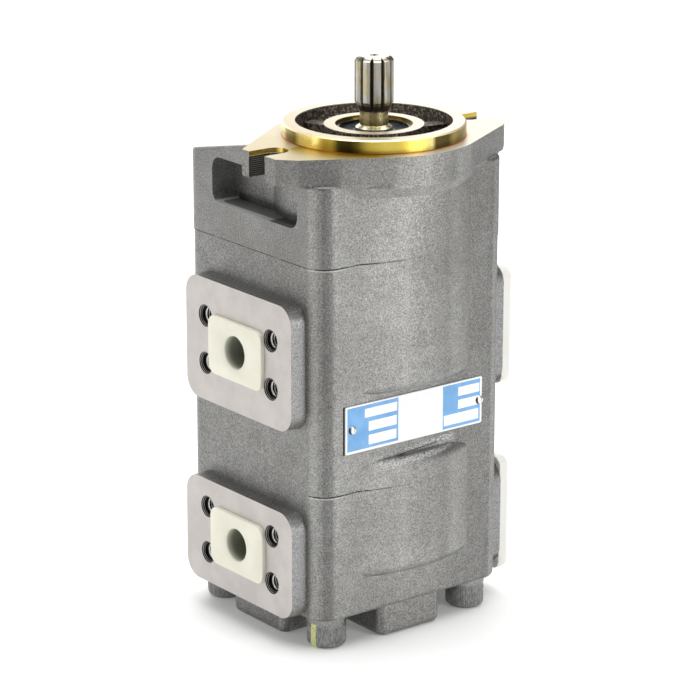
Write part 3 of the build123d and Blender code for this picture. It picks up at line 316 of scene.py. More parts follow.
def sand_cast(skin):
    """Blasted grey iron: sand grain, sparkle, cloudy tone, and light and shade painted by which way a face
    points. Gives its colour, roughness and relief.
    """
    clouds = skin.noise(0.018, 3.0, 0.55)
    mottle = skin.noise(0.16, 3.0, 0.6)
    sand = skin.noise(1.15, 3.0, 0.7)
    grit = skin.noise(2.6, 1.0, 0.5)
    grey = skin.mix(skin.step(clouds, 0.36, 0.64), GREY_DARK, GREY_LIGHT)
    light = skin.step(sand, 0.30, 0.72, 0.62, 1.38) * skin.step(mottle, 0.3, 0.7, 0.93, 1.07)
    # Light and shade painted by which way a face points: a painted dark band on the front left corner,
    # painted light on the front faces beside it, painted shade on the right of the front and on the left wall
    front = skin.step(skin.ny, -0.5, -0.7)
    corner = skin.step(skin.x, -50.0, -54.0)
    band = skin.near(skin.nx, -0.47, 0.13, 0.13) * front * corner
    edge = skin.near(skin.nx, -0.90, 0.06, 0.08) * skin.step(skin.ny, -0.12, -0.25)
    lit_flank = skin.near(skin.nx, -0.27, 0.13, 0.10) * front * (1.0 - corner)
    flat = skin.near(skin.nx, 0.0, 0.10, 0.10) * front * skin.step(skin.x, 30.0, -10.0)
    right = skin.step(skin.x, 8.0, 40.0) * front
    lit_shoulder = skin.near(skin.nx, 0.34, 0.08, 0.10) * front * (1.0 - corner)
    left = skin.step(skin.nx, -0.93, -0.98)
    # Painted light on the pale faces, painted shade on the dark ones, added to the grain's brightness
    painted_light = edge * 0.16 + lit_flank * 0.20 + flat * 0.14 + lit_shoulder * 0.30
    dark = band * 0.26 + right * 0.20 + left * 0.14
    light = light * (1.0 + painted_light - dark)
    colour = skin.shade(grey, light)
    sparkle = skin.step(grit, 0.66, 0.78) * skin.step(sand, 0.5, 0.62)
    colour = skin.mix(sparkle * 0.7, colour, (0.78, 0.78, 0.76))
    roughness = skin.step(sand, 0.3, 0.7, 0.52, 0.36) - sparkle * 0.10
    height = sand * 0.75 + grit * 0.25
    return colour, roughness, height


def seam(skin, level, colour, on_left, fade):
    """The thin dark joint between two castings. It closes up along the front and differs on the left wall. A
    painted highlight runs just below it on the front left.
    """
    front = skin.step(skin.y, -24.0, -28.0)
    sides = (skin.x < -58.0) * (on_left - 0.6) + 0.6
    strength = sides + front * (skin.step(skin.x, fade, -42.0) - sides)
    worn = skin.step(skin.noise(0.11, 2.0), 0.32, 0.52, 0.45, 1.0)
    line = skin.near(skin.z, level, 0.22, 0.25) * worn * strength
    # Painted highlight: a light line just below the joint, on the front left
    painted_highlight_line = skin.near(skin.z, level - 0.95, 0.12, 0.35) * skin.step(skin.x, -44.0, -54.0) * front
    colour = skin.mix(painted_highlight_line * 0.55, colour, (0.62, 0.61, 0.59))
    return skin.mix(line, colour, (0.025, 0.024, 0.022))


def from_port_hole(skin, level):
    """How far a place is from the axis of the nearest threaded hole of a pad."""
    away_y = abs(abs(skin.y - PORT_Y) - OUTLET_HOLE_REACH[0])
    away_z = abs(abs(skin.z - level) - OUTLET_HOLE_REACH[1])
    return across_plane(away_y, away_z)


def port_pads(skin, colour, roughness, height, level):
    """The machined faces of the two pads, their bluish sides with painted shade on the upper ones, and the
    threaded holes painted near black as shade.
    """
    across = abs(skin.x)
    face = (across > PAD_FACE - 0.12) * (abs(skin.nx) > 0.95)
    side = skin.step(across, PAD_FACE - 9.2, PAD_FACE - 6.5) * (1.0 - face)
    patches = skin.noise(0.06, 3.0, 0.55)
    clean = skin.mix(skin.step(patches, 0.35, 0.65), (0.52, 0.485, 0.462), (0.58, 0.545, 0.515))
    upright = side * skin.step(abs(skin.nz), 0.5, 0.25)
    colour = skin.mix(upright * skin.step(height, 0.30, 0.62, 0.05, 0.5), colour, (0.42, 0.43, 0.44))
    # Painted shade on the upper sides of the pads
    colour = skin.shade(colour, 1.0 - side * skin.step(skin.nz, 0.30, 0.6) * 0.15)
    colour = skin.mix(face, colour, clean)
    roughness = roughness * (1.0 - face) + face * 0.5
    # Painted shade: the holes' insides near black, with grey rings near the mouth
    hole = skin.step(from_port_hole(skin, level), HOLE_MOUTH_RADIUS + 0.1, HOLE_MOUTH_RADIUS) * (skin.x < 0.0)
    hole = hole * (across > PAD_FACE - HOLE_DEPTH) * (across < PAD_FACE - 0.05)
    mouth_start = PAD_FACE - HOLE_MOUTH_DEPTH
    mouth = skin.step(across, mouth_start - 0.5, mouth_start) * skin.step(skin.wave(across, 0.75), 0.3, 0.8)
    inside = skin.mix(mouth, (0.018, 0.018, 0.018), (0.34, 0.335, 0.32))
    colour = skin.mix(hole, colour, inside)
    return colour, roughness, height * (1.0 - face * 0.93), face


def iron_surface(skin, colour, roughness, height, metallic):
    """Ends a casting's material, with its relief of sand grain."""
    relief = skin.bump(height, SAND_DEPTH, 0.85)
    return skin.surface(Base_Color=colour, Roughness=roughness, Metallic=metallic, Normal=relief)


def cover_iron():
    """The front cover: sand-cast walls, and the gold-tinted machined flange, pilot, boss and slots, with
    painted reflections, highlights and shade.
    """
    skin = Finish("cover_iron")
    colour, roughness, height = sand_cast(skin)
    colour = seam(skin, UPPER_JOINT, colour, *UPPER_SEAM)
    radius = across_plane(skin.x, skin.y)
    angle = skin.turn() / (2 * pi) + 0.5

    # A painted highlight: bright glints in a patch on the front bulge
    painted_glitter = skin.step(skin.noise(1.5, 2.0, 0.6), 0.52, 0.68) * skin.step(skin.ny, -0.7, -0.95)
    highlight_patch = skin.near(skin.x, 2.0, 12.0, 26.0) * skin.near(skin.z, -38.0, 10.0, 16.0)
    colour = skin.mix(highlight_patch * painted_glitter * 0.6, colour, (0.66, 0.66, 0.64))

    # The rough cored hollow between the pilot and the boss
    boss_top = (radius < BOSS_RADIUS) * (skin.nz > 0.9) * (skin.z > BOSS_SHOULDER)
    hollow = skin.step(radius, HOLLOW_RADIUS, HOLLOW_RADIUS - 0.3) * (1.0 - boss_top)
    hollow = hollow * (skin.z > HOLLOW_HEIGHTS[0]) * (skin.z < HOLLOW_HEIGHTS[1])
    scale = skin.noise(0.62, 4.0, 0.75)
    crust = skin.mix(skin.step(scale, 0.46, 0.68), (0.070, 0.055, 0.036), (0.50, 0.455, 0.39))
    colour = skin.mix(hollow, colour, crust)
    height = height + hollow * scale * 2.0

    # Machined and tinted places, with painted reflections on the flange top and round the pilot, a painted
    # highlight on its top edge, and painted shade in the slots
    flat_top = (skin.nz > 0.99) * (skin.z > -0.4) * (1.0 - hollow)
    upright = 1.0 - skin.step(abs(skin.nz), 0.55, 0.75)
    turning = skin.noise(0.9, 2.0, 0.5, (1.0, 1.0, 6.0))
    drift = skin.step(skin.x + skin.noise(0.05, 2.0) * 30.0, -55.0, 45.0)
    cream = skin.mix(drift, (0.40, 0.325, 0.175), (0.56, 0.50, 0.40))
    # A painted golden reflection on the flange top, just outside the pilot on its front left
    painted_gold_reflection = skin.step(radius, 66.0, 54.0) * (radius > PILOT_RADIUS - 0.2)
    painted_gold_reflection = painted_gold_reflection * skin.near(angle, 0.075, 0.065, 0.05)
    cream = skin.mix(painted_gold_reflection * 0.9, cream, (0.46, 0.32, 0.035))
    # Painted reflections: light and dark gold bands round the pilot's side, by angle
    painted_ring_reflections = skin.node("ShaderNodeValToRGB", {"stops": [
        (0.000, (0.98, 0.80, 0.30)), (0.040, (0.96, 0.76, 0.24)), (0.056, (0.46, 0.33, 0.05)),
        (0.070, (0.42, 0.30, 0.04)), (0.083, (0.050, 0.036, 0.005)), (0.105, (0.042, 0.030, 0.005)),
        (0.118, (0.15, 0.11, 0.015)), (0.135, (0.60, 0.45, 0.07)), (0.165, (0.80, 0.62, 0.12)),
        (0.200, (0.66, 0.50, 0.08)), (0.235, (0.78, 0.60, 0.12)), (0.250, (0.92, 0.78, 0.32)),
        (0.258, (0.12, 0.085, 0.02)), (0.290, (0.09, 0.065, 0.015)), (0.305, (0.34, 0.25, 0.06)),
        (0.330, (0.20, 0.15, 0.04)), (0.365, (0.50, 0.38, 0.10)), (0.420, (0.86, 0.70, 0.30)),
        (0.500, (0.45, 0.33, 0.07)), (0.620, (0.78, 0.60, 0.16)), (0.750, (0.40, 0.30, 0.05)),
        (0.870, (0.86, 0.70, 0.32)), (0.935, (0.90, 0.76, 0.36)), (0.955, (0.24, 0.17, 0.03)),
        (0.985, (0.20, 0.145, 0.025)), (1.000, (0.98, 0.80, 0.30)),
    ]}, [angle])
    wall = (radius > PILOT_WALL[0]) * (radius < PILOT_WALL[1]) * (skin.z > 0.02) * upright
    colour = skin.mix(flat_top, colour, cream)
    colour = skin.mix(wall, colour, painted_ring_reflections)
    base_line = skin.near(radius, PILOT_RADIUS, 0.35, 0.25) * skin.near(skin.z, 0.1, 0.35, 0.25)
    colour = skin.mix(base_line * 0.85, colour, (0.50, 0.19, 0.035))
    # A painted highlight along the pilot's top edge
    lip = skin.near(radius, PILOT_RADIUS - 0.4, 0.5, 0.1) * skin.near(skin.z, PILOT_TOP, 0.35, 0.1)
    colour = skin.mix(lip, colour, (0.93, 0.80, 0.50))
    bore = (radius < BORE_RADIUS) * (skin.z > BORE_BOTTOM) * upright
    colour = skin.mix(bore, colour, (0.46, 0.30, 0.045))
    slot_wall = (abs(skin.y) < SLOT_HALF_WIDTH) * (abs(skin.x) > SLOT_START)
    slot_wall = slot_wall * (skin.z > SLOT_BOTTOM) * upright
    # Painted shade in the slots: below a gold band at the top, the walls are near black between thin grey
    # ribs
    ribs = skin.wave(skin.z, SLOT_RIB_PITCH) * 0.5 + 0.5
    milled = skin.step(skin.z, -2.2, -2.9)
    slot_colour = skin.mix(skin.step(ribs, 0.75, 0.95), (0.040, 0.038, 0.035), (0.26, 0.25, 0.235))
    slot_colour = skin.mix(milled, (0.70, 0.50, 0.11), slot_colour)
    colour = skin.mix(slot_wall, colour, slot_colour)

    # Painted light on the back slope, and painted shade in the wrench pockets
    painted_lit_slope = skin.step(skin.nz, 0.72, 0.86) * (skin.z < -0.5) * (skin.y > 8.0)
    colour = skin.mix(painted_lit_slope * skin.step(height, 0.2, 0.55, 0.5, 0.95), colour, (0.66, 0.655, 0.64))
    pocket = skin.near(abs(skin.x), POCKET_MIDDLE[0], POCKET_REACH[0], 0.6)
    pocket = pocket * skin.near(skin.y, POCKET_MIDDLE[1], POCKET_REACH[1], 0.6)
    pocket = pocket * skin.near(skin.z, POCKET_MIDDLE[2], POCKET_REACH[2], 0.4)
    shade = (skin.step(skin.y, -3.0, -16.0) * 0.8) | (skin.step(skin.z, -34.0, -38.5) * 0.75)
    shade = shade | (skin.step(skin.nz, 0.3, 0.7) * 0.25) | (skin.step(skin.ny, -0.3, -0.7) * 0.8)
    colour = skin.mix(pocket * skin.step(scale, 0.5, 0.7) * 0.4, colour, (0.60, 0.595, 0.58))
    colour = skin.shade(colour, 1.0 - pocket * shade * 0.82)
    machined = flat_top | wall | bore | slot_wall
    metallic = machined * 0.10 + 0.8 - flat_top * (1.0 - painted_gold_reflection) * 0.55 - painted_lit_slope * 0.6
    roughness = roughness * (1.0 - machined) + machined * 0.24 + flat_top * 0.16
    height = height * (1.0 - machined) + turning * machined * 0.05 + ribs * slot_wall * milled * 1.6
    return iron_surface(skin, colour, roughness, height, metallic)


def housing_iron(name, level, joints, ledge=False):
    """A gear housing: sand-cast walls with two machined pads."""
    skin = Finish(name)
    colour, roughness, height = sand_cast(skin)
    for joint, look in joints:
        colour = seam(skin, joint, colour, *look)
    if ledge:
        # The scratchy bright ledge under the name plate
        along = skin.z - skin.x * LEDGE_RISE - LEDGE_LEVEL
        ends = skin.near(skin.x, -1.0, 24.0, 9.0) * skin.step(skin.ny, -0.2, -0.5)
        scratches = skin.noise(1.5, 3.0, 0.75, (0.45, 1.0, 1.6))
        fine = skin.noise(0.9, 2.0, 0.7, (0.5, 1.0, 2.4))
        place = skin.near(along + (fine - 0.5) * 3.0, 0.0, 2.6, 1.6) * ends
        colour = skin.mix(place * skin.step(scratches, 0.44, 0.60) * 0.8, colour, (0.80, 0.80, 0.79))
        crack = skin.near(along - 0.5, 0.0, 0.18, 0.3) * skin.near(skin.x, 2.0, 12.0, 5.0)
        pits = skin.near(skin.x, 25.0, 7.0, 6.0) * place * skin.step(scratches, 0.46, 0.36)
        dents = crack | pits | (place * skin.step(fine, 0.40, 0.32) * 0.5)
        colour = skin.mix(dents * 0.85, colour, (0.07, 0.068, 0.064))
        height = height + place * scratches * 1.2

        # Painted shadow: a dark line on the face beside the plate's left edge
        gap = skin.near(skin.x, PLATE_LOW.x - 0.5, 0.45, 0.25) * skin.near(skin.z, PLATE_MIDDLE_Z, 13.6, 0.5)
        colour = skin.mix(gap * skin.step(skin.ny, -0.5, -0.8), colour, (0.025, 0.022, 0.02))
    colour, roughness, height, face = port_pads(skin, colour, roughness, height, level)
    return iron_surface(skin, colour, roughness, height, 0.8 - face * 0.55)


# Finishes of the other pieces

def shaft_steel():
    """The ground drive shaft, warm in places, with painted shade in the grooves between the teeth and under
    the tooth ends.
    """
    skin = Finish("shaft_steel")
    radius = across_plane(skin.x, skin.y)
    shaded_groove = skin.step(radius, 10.5, 9.6) * (skin.z > GROOVE_HEIGHTS[0]) * (skin.z < GROOVE_HEIGHTS[1])
    lines = skin.noise(0.6, 3.0, 0.6, (1.0, 1.0, 0.12))
    warmth = skin.noise(0.11, 2.0)
    steel = skin.mix(skin.step(warmth, 0.42, 0.66), (0.42, 0.41, 0.375), (0.40, 0.355, 0.23))
    steel = skin.shade(steel, skin.step(lines, 0.3, 0.7, 0.78, 1.2))
    # Painted shade in the grooves between the teeth
    steel = skin.mix(shaded_groove * 0.78, steel, (0.085, 0.070, 0.048))
    # Painted shade just under the tooth ends
    painted_tooth_shade = skin.step(skin.z, 17.6, 16.4) * skin.step(radius, 8.55, 8.9) * (skin.z > 13.0)
    steel = skin.mix(painted_tooth_shade * 0.6, steel, (0.050, 0.038, 0.018))
    neck = skin.near(skin.z, NECK_LEVEL, 4.0, 2.5) * skin.step(radius, 8.4, 8.2)
    steel = skin.mix(neck * 0.8, steel, (0.74, 0.65, 0.34))
    flare = skin.step(skin.z, FLARE_TOP, FLARE_TOP - 1.0)
    steel = skin.mix(flare * 0.7, steel, (0.80, 0.72, 0.46))
    relief = skin.bump(lines, 0.02, 0.6)
    rough = skin.step(lines, 0.3, 0.7, 0.22, 0.34) + shaded_groove * 0.15
    return skin.surface(Base_Color=steel, Metallic=0.95, Roughness=rough, Normal=relief)


def metal(name, light, dark, roughness, grain, stretch=None):
    """A plain metal with a grain of its own."""
    skin = Finish(name)
    lines = skin.noise(grain, 3.0, 0.6, stretch)
    clouds = skin.noise(0.07, 2.0)
    colour = skin.mix(skin.step(lines, 0.3, 0.7), dark, light)
    colour = skin.shade(colour, skin.step(clouds, 0.3, 0.7, 0.9, 1.08))
    rough = skin.step(lines, 0.3, 0.7, roughness - 0.06, roughness + 0.08)
    relief = skin.bump(lines, 0.03, 0.7)
    return skin.surface(Base_Color=colour, Metallic=1.0, Roughness=rough, Normal=relief)


def thread_iron():
    """The threads in the pads' holes: flanks painted near black as shade, with a painted highlight on the
    crest.
    """
    skin = Finish("port_threads")
    away = from_port_hole(skin, PORT_LEVELS[0]) & from_port_hole(skin, PORT_LEVELS[1])
    crest = skin.step(away, 4.75, 4.35) * skin.step(skin.noise(0.8, 2.0), 0.3, 0.5, 0.5, 1.0)
    colour = skin.mix(crest, (0.020, 0.020, 0.019), (0.62, 0.61, 0.58))
    rough = skin.step(skin.noise(1.4, 2.0), 0.3, 0.7, 0.28, 0.42)
    return skin.surface(Base_Color=colour, Metallic=0.8, Roughness=rough)


# Where the painted screw's stripe is, round the screw, in degrees
STRIPE_ANGLE = -174.6


def screw_oxide(name, stripe=None):
    """Oiled dark screws, rubbed bright on their edges, one with a stripe of marking paint."""
    skin = Finish(name)
    grain = skin.noise(1.0, 3.0, 0.6, (1.6, 1.6, 0.35))
    colour = skin.mix(skin.step(grain, 0.35, 0.7), (0.16, 0.16, 0.156), (0.33, 0.33, 0.32))
    bright = skin.step(skin.noise(0.3, 3.0, 0.7), 0.58, 0.74)
    colour = skin.mix(bright * 0.3, colour, (0.42, 0.42, 0.40))
    rough = skin.step(grain, 0.3, 0.7, 0.5, 0.36)
    if stripe:
        centre_x, centre_y, turn = stripe
        angle = skin.turn(centre_x, centre_y)
        ragged = (skin.noise(0.8, 3.0, 0.7) - 0.5) * 0.35
        paint = skin.near(angle + ragged, turn, 0.24, 0.03) * skin.step(skin.noise(1.1, 2.0), 0.30, 0.40)
        colour = skin.mix(paint, colour, (0.68, 0.70, 0.30))
        rough = rough * (1.0 - paint) + paint * 0.6
        metallic = (1.0 - paint) * 0.75
    else:
        metallic = 0.75
    relief = skin.bump(grain, 0.06, 0.7)
    return skin.surface(Base_Color=colour, Metallic=metallic, Roughness=rough, Normal=relief)


def rivet_metal():
    """Bright rivet heads, with painted shade on the left where the dome falls away."""
    skin = Finish("rivet_aluminium")
    fleck = skin.noise(1.2, 3.0, 0.6)
    colour = skin.mix(skin.step(fleck, 0.35, 0.65), (0.62, 0.615, 0.60), (0.84, 0.835, 0.82))
    # Painted shade on the left side of the dome
    shaded_left_side = skin.step(skin.nx + skin.nz * 0.25, -0.30, -0.62)
    colour = skin.mix(shaded_left_side, colour, (0.045, 0.043, 0.04))
    rough = skin.step(fleck, 0.3, 0.7, 0.28, 0.4)
    return skin.surface(Base_Color=colour, Metallic=0.85, Roughness=rough, Normal=skin.bump(fleck, 0.03, 0.7))


def moulding(name, light, dark, roughness, subsurface, edge=None):
    """Moulded plastic with a faint cloudiness and a fine satin skin."""
    skin = Finish(name)
    clouds = skin.noise(0.05, 2.0)
    skin_grain = skin.noise(1.6, 2.0)
    colour = skin.mix(skin.step(clouds, 0.35, 0.65), dark, light)
    if edge:
        # Painted shade: a darker ring round the port's hole
        side_z = abs(skin.z - PORT_LEVELS[0]) & abs(skin.z - PORT_LEVELS[1])
        away = across_plane(skin.y - PORT_Y, side_z)
        painted_shade_ring = skin.step(away, 15.5, 9.6) * 0.5
        colour = skin.mix(painted_shade_ring, colour, edge)
        # Painted shade inside the hole, darker with depth
        painted_hole_shade = skin.step(skin.x, -PAD_FACE - 4.5, -PAD_FACE + 3.0) * skin.step(away, 9.7, 9.3)
        colour = skin.mix(painted_hole_shade * 0.96, colour, (0.19, 0.20, 0.15))
    rough = skin.step(skin_grain, 0.3, 0.7, roughness - 0.04, roughness + 0.05)
    return skin.surface(
        Base_Color=colour,
        Roughness=rough,
        Subsurface_Weight=subsurface,
        Subsurface_Radius=(1.0, 0.9, 0.7),
        Subsurface_Scale=0.002,
        Normal=skin.bump(skin_grain, 0.012, 0.6),
    )


def rubber(name):
    """Black seal rubber with a slight bloom."""
    skin = Finish(name)
    bloom = skin.noise(0.35, 3.0, 0.6)
    colour = skin.mix(skin.step(bloom, 0.35, 0.7), (0.012, 0.014, 0.020), (0.035, 0.040, 0.052))
    rough = skin.step(bloom, 0.3, 0.7, 0.30, 0.48)
    return skin.surface(Base_Color=colour, Roughness=rough, Normal=skin.bump(bloom, 0.02, 0.5))


# The printed fields of the name plate, in millimetres: left, bottom, right, top
BLUE_FIELDS = ((-47.4, -165.0, -12.0, -140.2), (19.8, -165.4, 46.6, -140.3))
WHITE_FIELDS = (
    (-35.3, -147.4, -12.9, -142.4),
    (-32.6, -155.4, -13.1, -150.0),
    (-32.6, -163.3, -13.3, -157.8),
    (30.8, -147.8, 46.0, -142.7),
    (30.8, -155.3, 46.0, -150.1),
    (20.6, -163.6, 45.5, -157.6),
)


def plate_print():
    """The plate's white enamel with blue printed fields and blank white boxes."""
    skin = Finish("plate_print")
    drift = (skin.noise(0.7, 2.0) - 0.5) * 0.25

    def field(left, bottom, right, top):
        across = skin.near(skin.x + drift, (left + right) / 2, (right - left) / 2, 0.12)
        return across * skin.near(skin.z + drift, (bottom + top) / 2, (top - bottom) / 2, 0.12)

    front = skin.step(skin.ny, -0.5, -0.8)
    fleck = skin.noise(0.8, 3.0, 0.6)
    white = skin.mix(skin.step(fleck, 0.3, 0.7), (0.90, 0.91, 0.93), (0.97, 0.97, 0.97))
    blue = skin.mix(skin.step(skin.noise(0.12, 3.0), 0.3, 0.7), (0.16, 0.385, 0.70), (0.205, 0.45, 0.78))
    ink = field(*BLUE_FIELDS[0]) | field(*BLUE_FIELDS[1])
    colour = skin.mix(ink, white, blue)
    boxes = 0.0
    for edges in WHITE_FIELDS:
        boxes = field(*edges) | boxes
    colour = skin.mix(boxes, colour, (0.95, 0.955, 0.955))
    colour = skin.mix(front, (0.55, 0.55, 0.54), colour)
    thickness = skin.bump(ink * (1.0 - boxes) + fleck * 0.05, 0.03, 0.5)
    rough = 0.34 - ink * 0.06
    return skin.surface(Base_Color=colour, Roughness=rough, Metallic=0.08, Normal=thickness)


# Modelling by hand: selecting, placing and finishing

FACINGS = {
    "up": Matrix.Identity(3),
    "left": Matrix(((0, 0, -1), (-1, 0, 0), (0, 1, 0))),
    "right": Matrix(((0, 0, 1), (1, 0, 0), (0, 1, 0))),
    "front": Matrix(((1, 0, 0), (0, 0, -1), (0, 1, 0))),
}


def deselect():
    if bpy.context.mode != "OBJECT":
        bpy.ops.object.mode_set(mode="OBJECT")
    bpy.ops.object.select_all(action="DESELECT")


def choose(piece):
    """Selects one object and makes it the active one."""
    deselect()
    piece.select_set(True)
    bpy.context.view_layer.objects.active = piece


def shape_it(name):
    """Names the primitive just added and opens it for shaping, with all of it selected."""
    piece = bpy.context.object
    piece.name = name
    piece.data.name = name
    bpy.ops.object.transform_apply(location=True, rotation=True, scale=True)
    bpy.ops.object.mode_set(mode="EDIT")
    bpy.ops.mesh.select_all(action="SELECT")
    return piece


def pick(kind, wanted):
    """Selects the vertices, edges or faces that are wanted, and nothing else."""
    bpy.ops.mesh.select_mode(type={"verts": "VERT", "edges": "EDGE", "faces": "FACE"}[kind])
    bpy.ops.mesh.select_all(action="DESELECT")
    shape = bmesh.from_edit_mesh(bpy.context.edit_object.data)
    for part in getattr(shape, kind):
        if wanted(part):
            part.select_set(True)
    shape.select_flush_mode()
    bmesh.update_edit_mesh(bpy.context.edit_object.data)


def close_up():
    """Merges doubles and turns all faces outwards."""
    bpy.ops.mesh.select_mode(type="VERT")
    bpy.ops.mesh.select_all(action="SELECT")
    bpy.ops.mesh.remove_doubles(threshold=1e-6)
    bpy.ops.mesh.normals_make_consistent(inside=False)
    bpy.ops.object.mode_set(mode="OBJECT")


def turned(name, profile, steps=96):
    """A turned piece about Z: a circle drawn out ring by ring along a profile of radius and height."""
    radius, height = profile[0]
    deselect()
    bpy.ops.mesh.primitive_circle_add(vertices=steps, radius=radius * MM, location=(0, 0, height * MM))
    piece = shape_it(name)
    for new_radius, new_height in profile[1:]:
        bpy.ops.mesh.extrude_region_move(TRANSFORM_OT_translate={"value": (0, 0, (new_height - height) * MM)})
        share = new_radius / radius
        bpy.ops.transform.resize(value=(share, share, 1), center_override=(0, 0, new_height * MM))
        radius, height = new_radius, new_height
    if profile[0] != profile[-1]:
        bpy.ops.mesh.edge_face_add()
        start = profile[0][1] * MM
        pick("edges", lambda edge: edge.is_boundary and abs(edge.verts[0].co.z - start) < 1e-6)
        bpy.ops.mesh.edge_face_add()
    close_up()
    return piece


def block(name, width, height, thickness):
    """A block that stands on the drawing plane, open for shaping. Sizes in millimetres."""
    deselect()
    bpy.ops.mesh.primitive_cube_add(size=1, scale=(width * MM, height * MM, thickness * MM))
    piece = shape_it(name)
    bpy.ops.transform.translate(value=(0, 0, thickness * MM / 2))
    return piece


def rounded_plate(name, width, height, thickness, corner, edge, back_edge=0.0):
    """A flat plate with rounded corners and softened edges."""
    piece = block(name, width, height, thickness)
    pick("edges", lambda e: abs(e.verts[0].co.z - e.verts[1].co.z) > thickness * MM / 2)
    bpy.ops.mesh.bevel(offset=corner * MM, segments=8, affect="EDGES")
    pick("edges", lambda e: min(v.co.z for v in e.verts) > thickness * MM * 0.99)
    bpy.ops.mesh.bevel(offset=edge * MM, segments=4, affect="EDGES")
    if back_edge:
        pick("edges", lambda e: max(v.co.z for v in e.verts) < thickness * MM * 0.01)
        bpy.ops.mesh.bevel(offset=back_edge * MM, segments=3, affect="EDGES")
    close_up()
    return piece


def combine(piece, other, operation):
    """Joins the other shape to the piece, or cuts it out of it."""
    change = piece.modifiers.new("combine", "BOOLEAN")
    change.operation = operation
    change.object = other
    change.solver = "EXACT"
    choose(piece)
    bpy.ops.object.modifier_apply(modifier=change.name)
    bpy.data.objects.remove(other)


def settle(piece, place, facing="up"):
    """Turns the piece to its face and moves it to its place, both kept in its mesh."""
    choose(piece)
    piece.matrix_world = Matrix.Translation(Vector(place) * MM) @ FACINGS[facing].to_4x4()
    bpy.ops.object.transform_apply(location=True, rotation=True, scale=True)


def dress(piece, material, slot, body, *stands_for, angle=35):
    """Smooths the piece, gives it its finish and fixes it to its body. Its slot is not used."""
    choose(piece)
    bpy.ops.object.shade_smooth_by_angle(angle=radians(angle))
    piece.data.materials.clear()
    piece.data.materials.append(material)
    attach(piece, body)
    if stands_for:
        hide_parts(*stands_for)


def copy_of(piece, name):
    """A copy with its own mesh."""
    twin = piece.copy()
    twin.data = piece.data.copy()
    twin.name = twin.data.name = name
    scene.collection.objects.link(twin)
    return twin


# Pieces

# Sizes of the modelled pieces, in millimetres
PLUG_CORNER = 6.0
PLUG_EDGE = 0.65
PLUG_BACK_EDGE = 0.2
PLUG_BARREL_RADIUS = 13.95
COVER_CORNER = 5.5
COVER_BORDER = 3.4
COVER_EDGE = 1.2
COVER_BACK_EDGE = 0.5
COVER_SPIGOT_RADIUS = 18.95
COVER_RIM_RADIUS = 17.6
COVER_DISH_RADIUS = 15.0
PLATE_CORNER = 1.0
PLATE_EDGE = 0.22
RIVET_HOLE_RADIUS = 1.35
RIVET_HEAD_RADIUS = 2.5
THREAD_PITCH = 1.75
THREAD_TURNS = 11
THREAD_DEPTH = 21.0
THREAD_OUTER_RADIUS = 5.07
THREAD_RIDGE = 0.8
THREAD_START = 1.4
KNURL_START = 2.2
KNURL_LENGTH = 9.4
KNURL_STEPS = 144
KNURL_RISE = 1.016
CLIP_WIDTH = 3.2
CLIP_GAP = 9.0
LUG_SIDE = 6.4
LUG_RADIUS = 2.3


def outlet_plug(name):
    """A push-in plug: a soft-edged rectangular head, a barrel and a blind hole with a rounded lip."""
    low, high = low_high(name)
    head = -PAD_FACE - low.x
    reach = high.x + PAD_FACE
    width, height = high.y - low.y, high.z - low.z
    softening = (PLUG_CORNER, PLUG_EDGE, PLUG_BACK_EDGE)
    plug = rounded_plate("plug_" + name.split("_")[0], width, height, head, *softening)
    barrel_profile = [(PLUG_BARREL_RADIUS - 0.75, -reach), (PLUG_BARREL_RADIUS, -reach + 1.5),
                      (PLUG_BARREL_RADIUS, head / 2)]
    combine(plug, turned("barrel", barrel_profile, 72), "UNION")
    hole_profile = [(8.4, head - 13.0), (9.0, head - 12.4), (9.25, head - 0.9), (9.6, head - 0.35),
                    (10.3, head + 0.02), (10.3, head + 1.0)]
    combine(plug, turned("hole", hole_profile, 72), "DIFFERENCE")
    settle(plug, (-PAD_FACE, PORT_Y, middle(name)[2]), "left")
    return plug


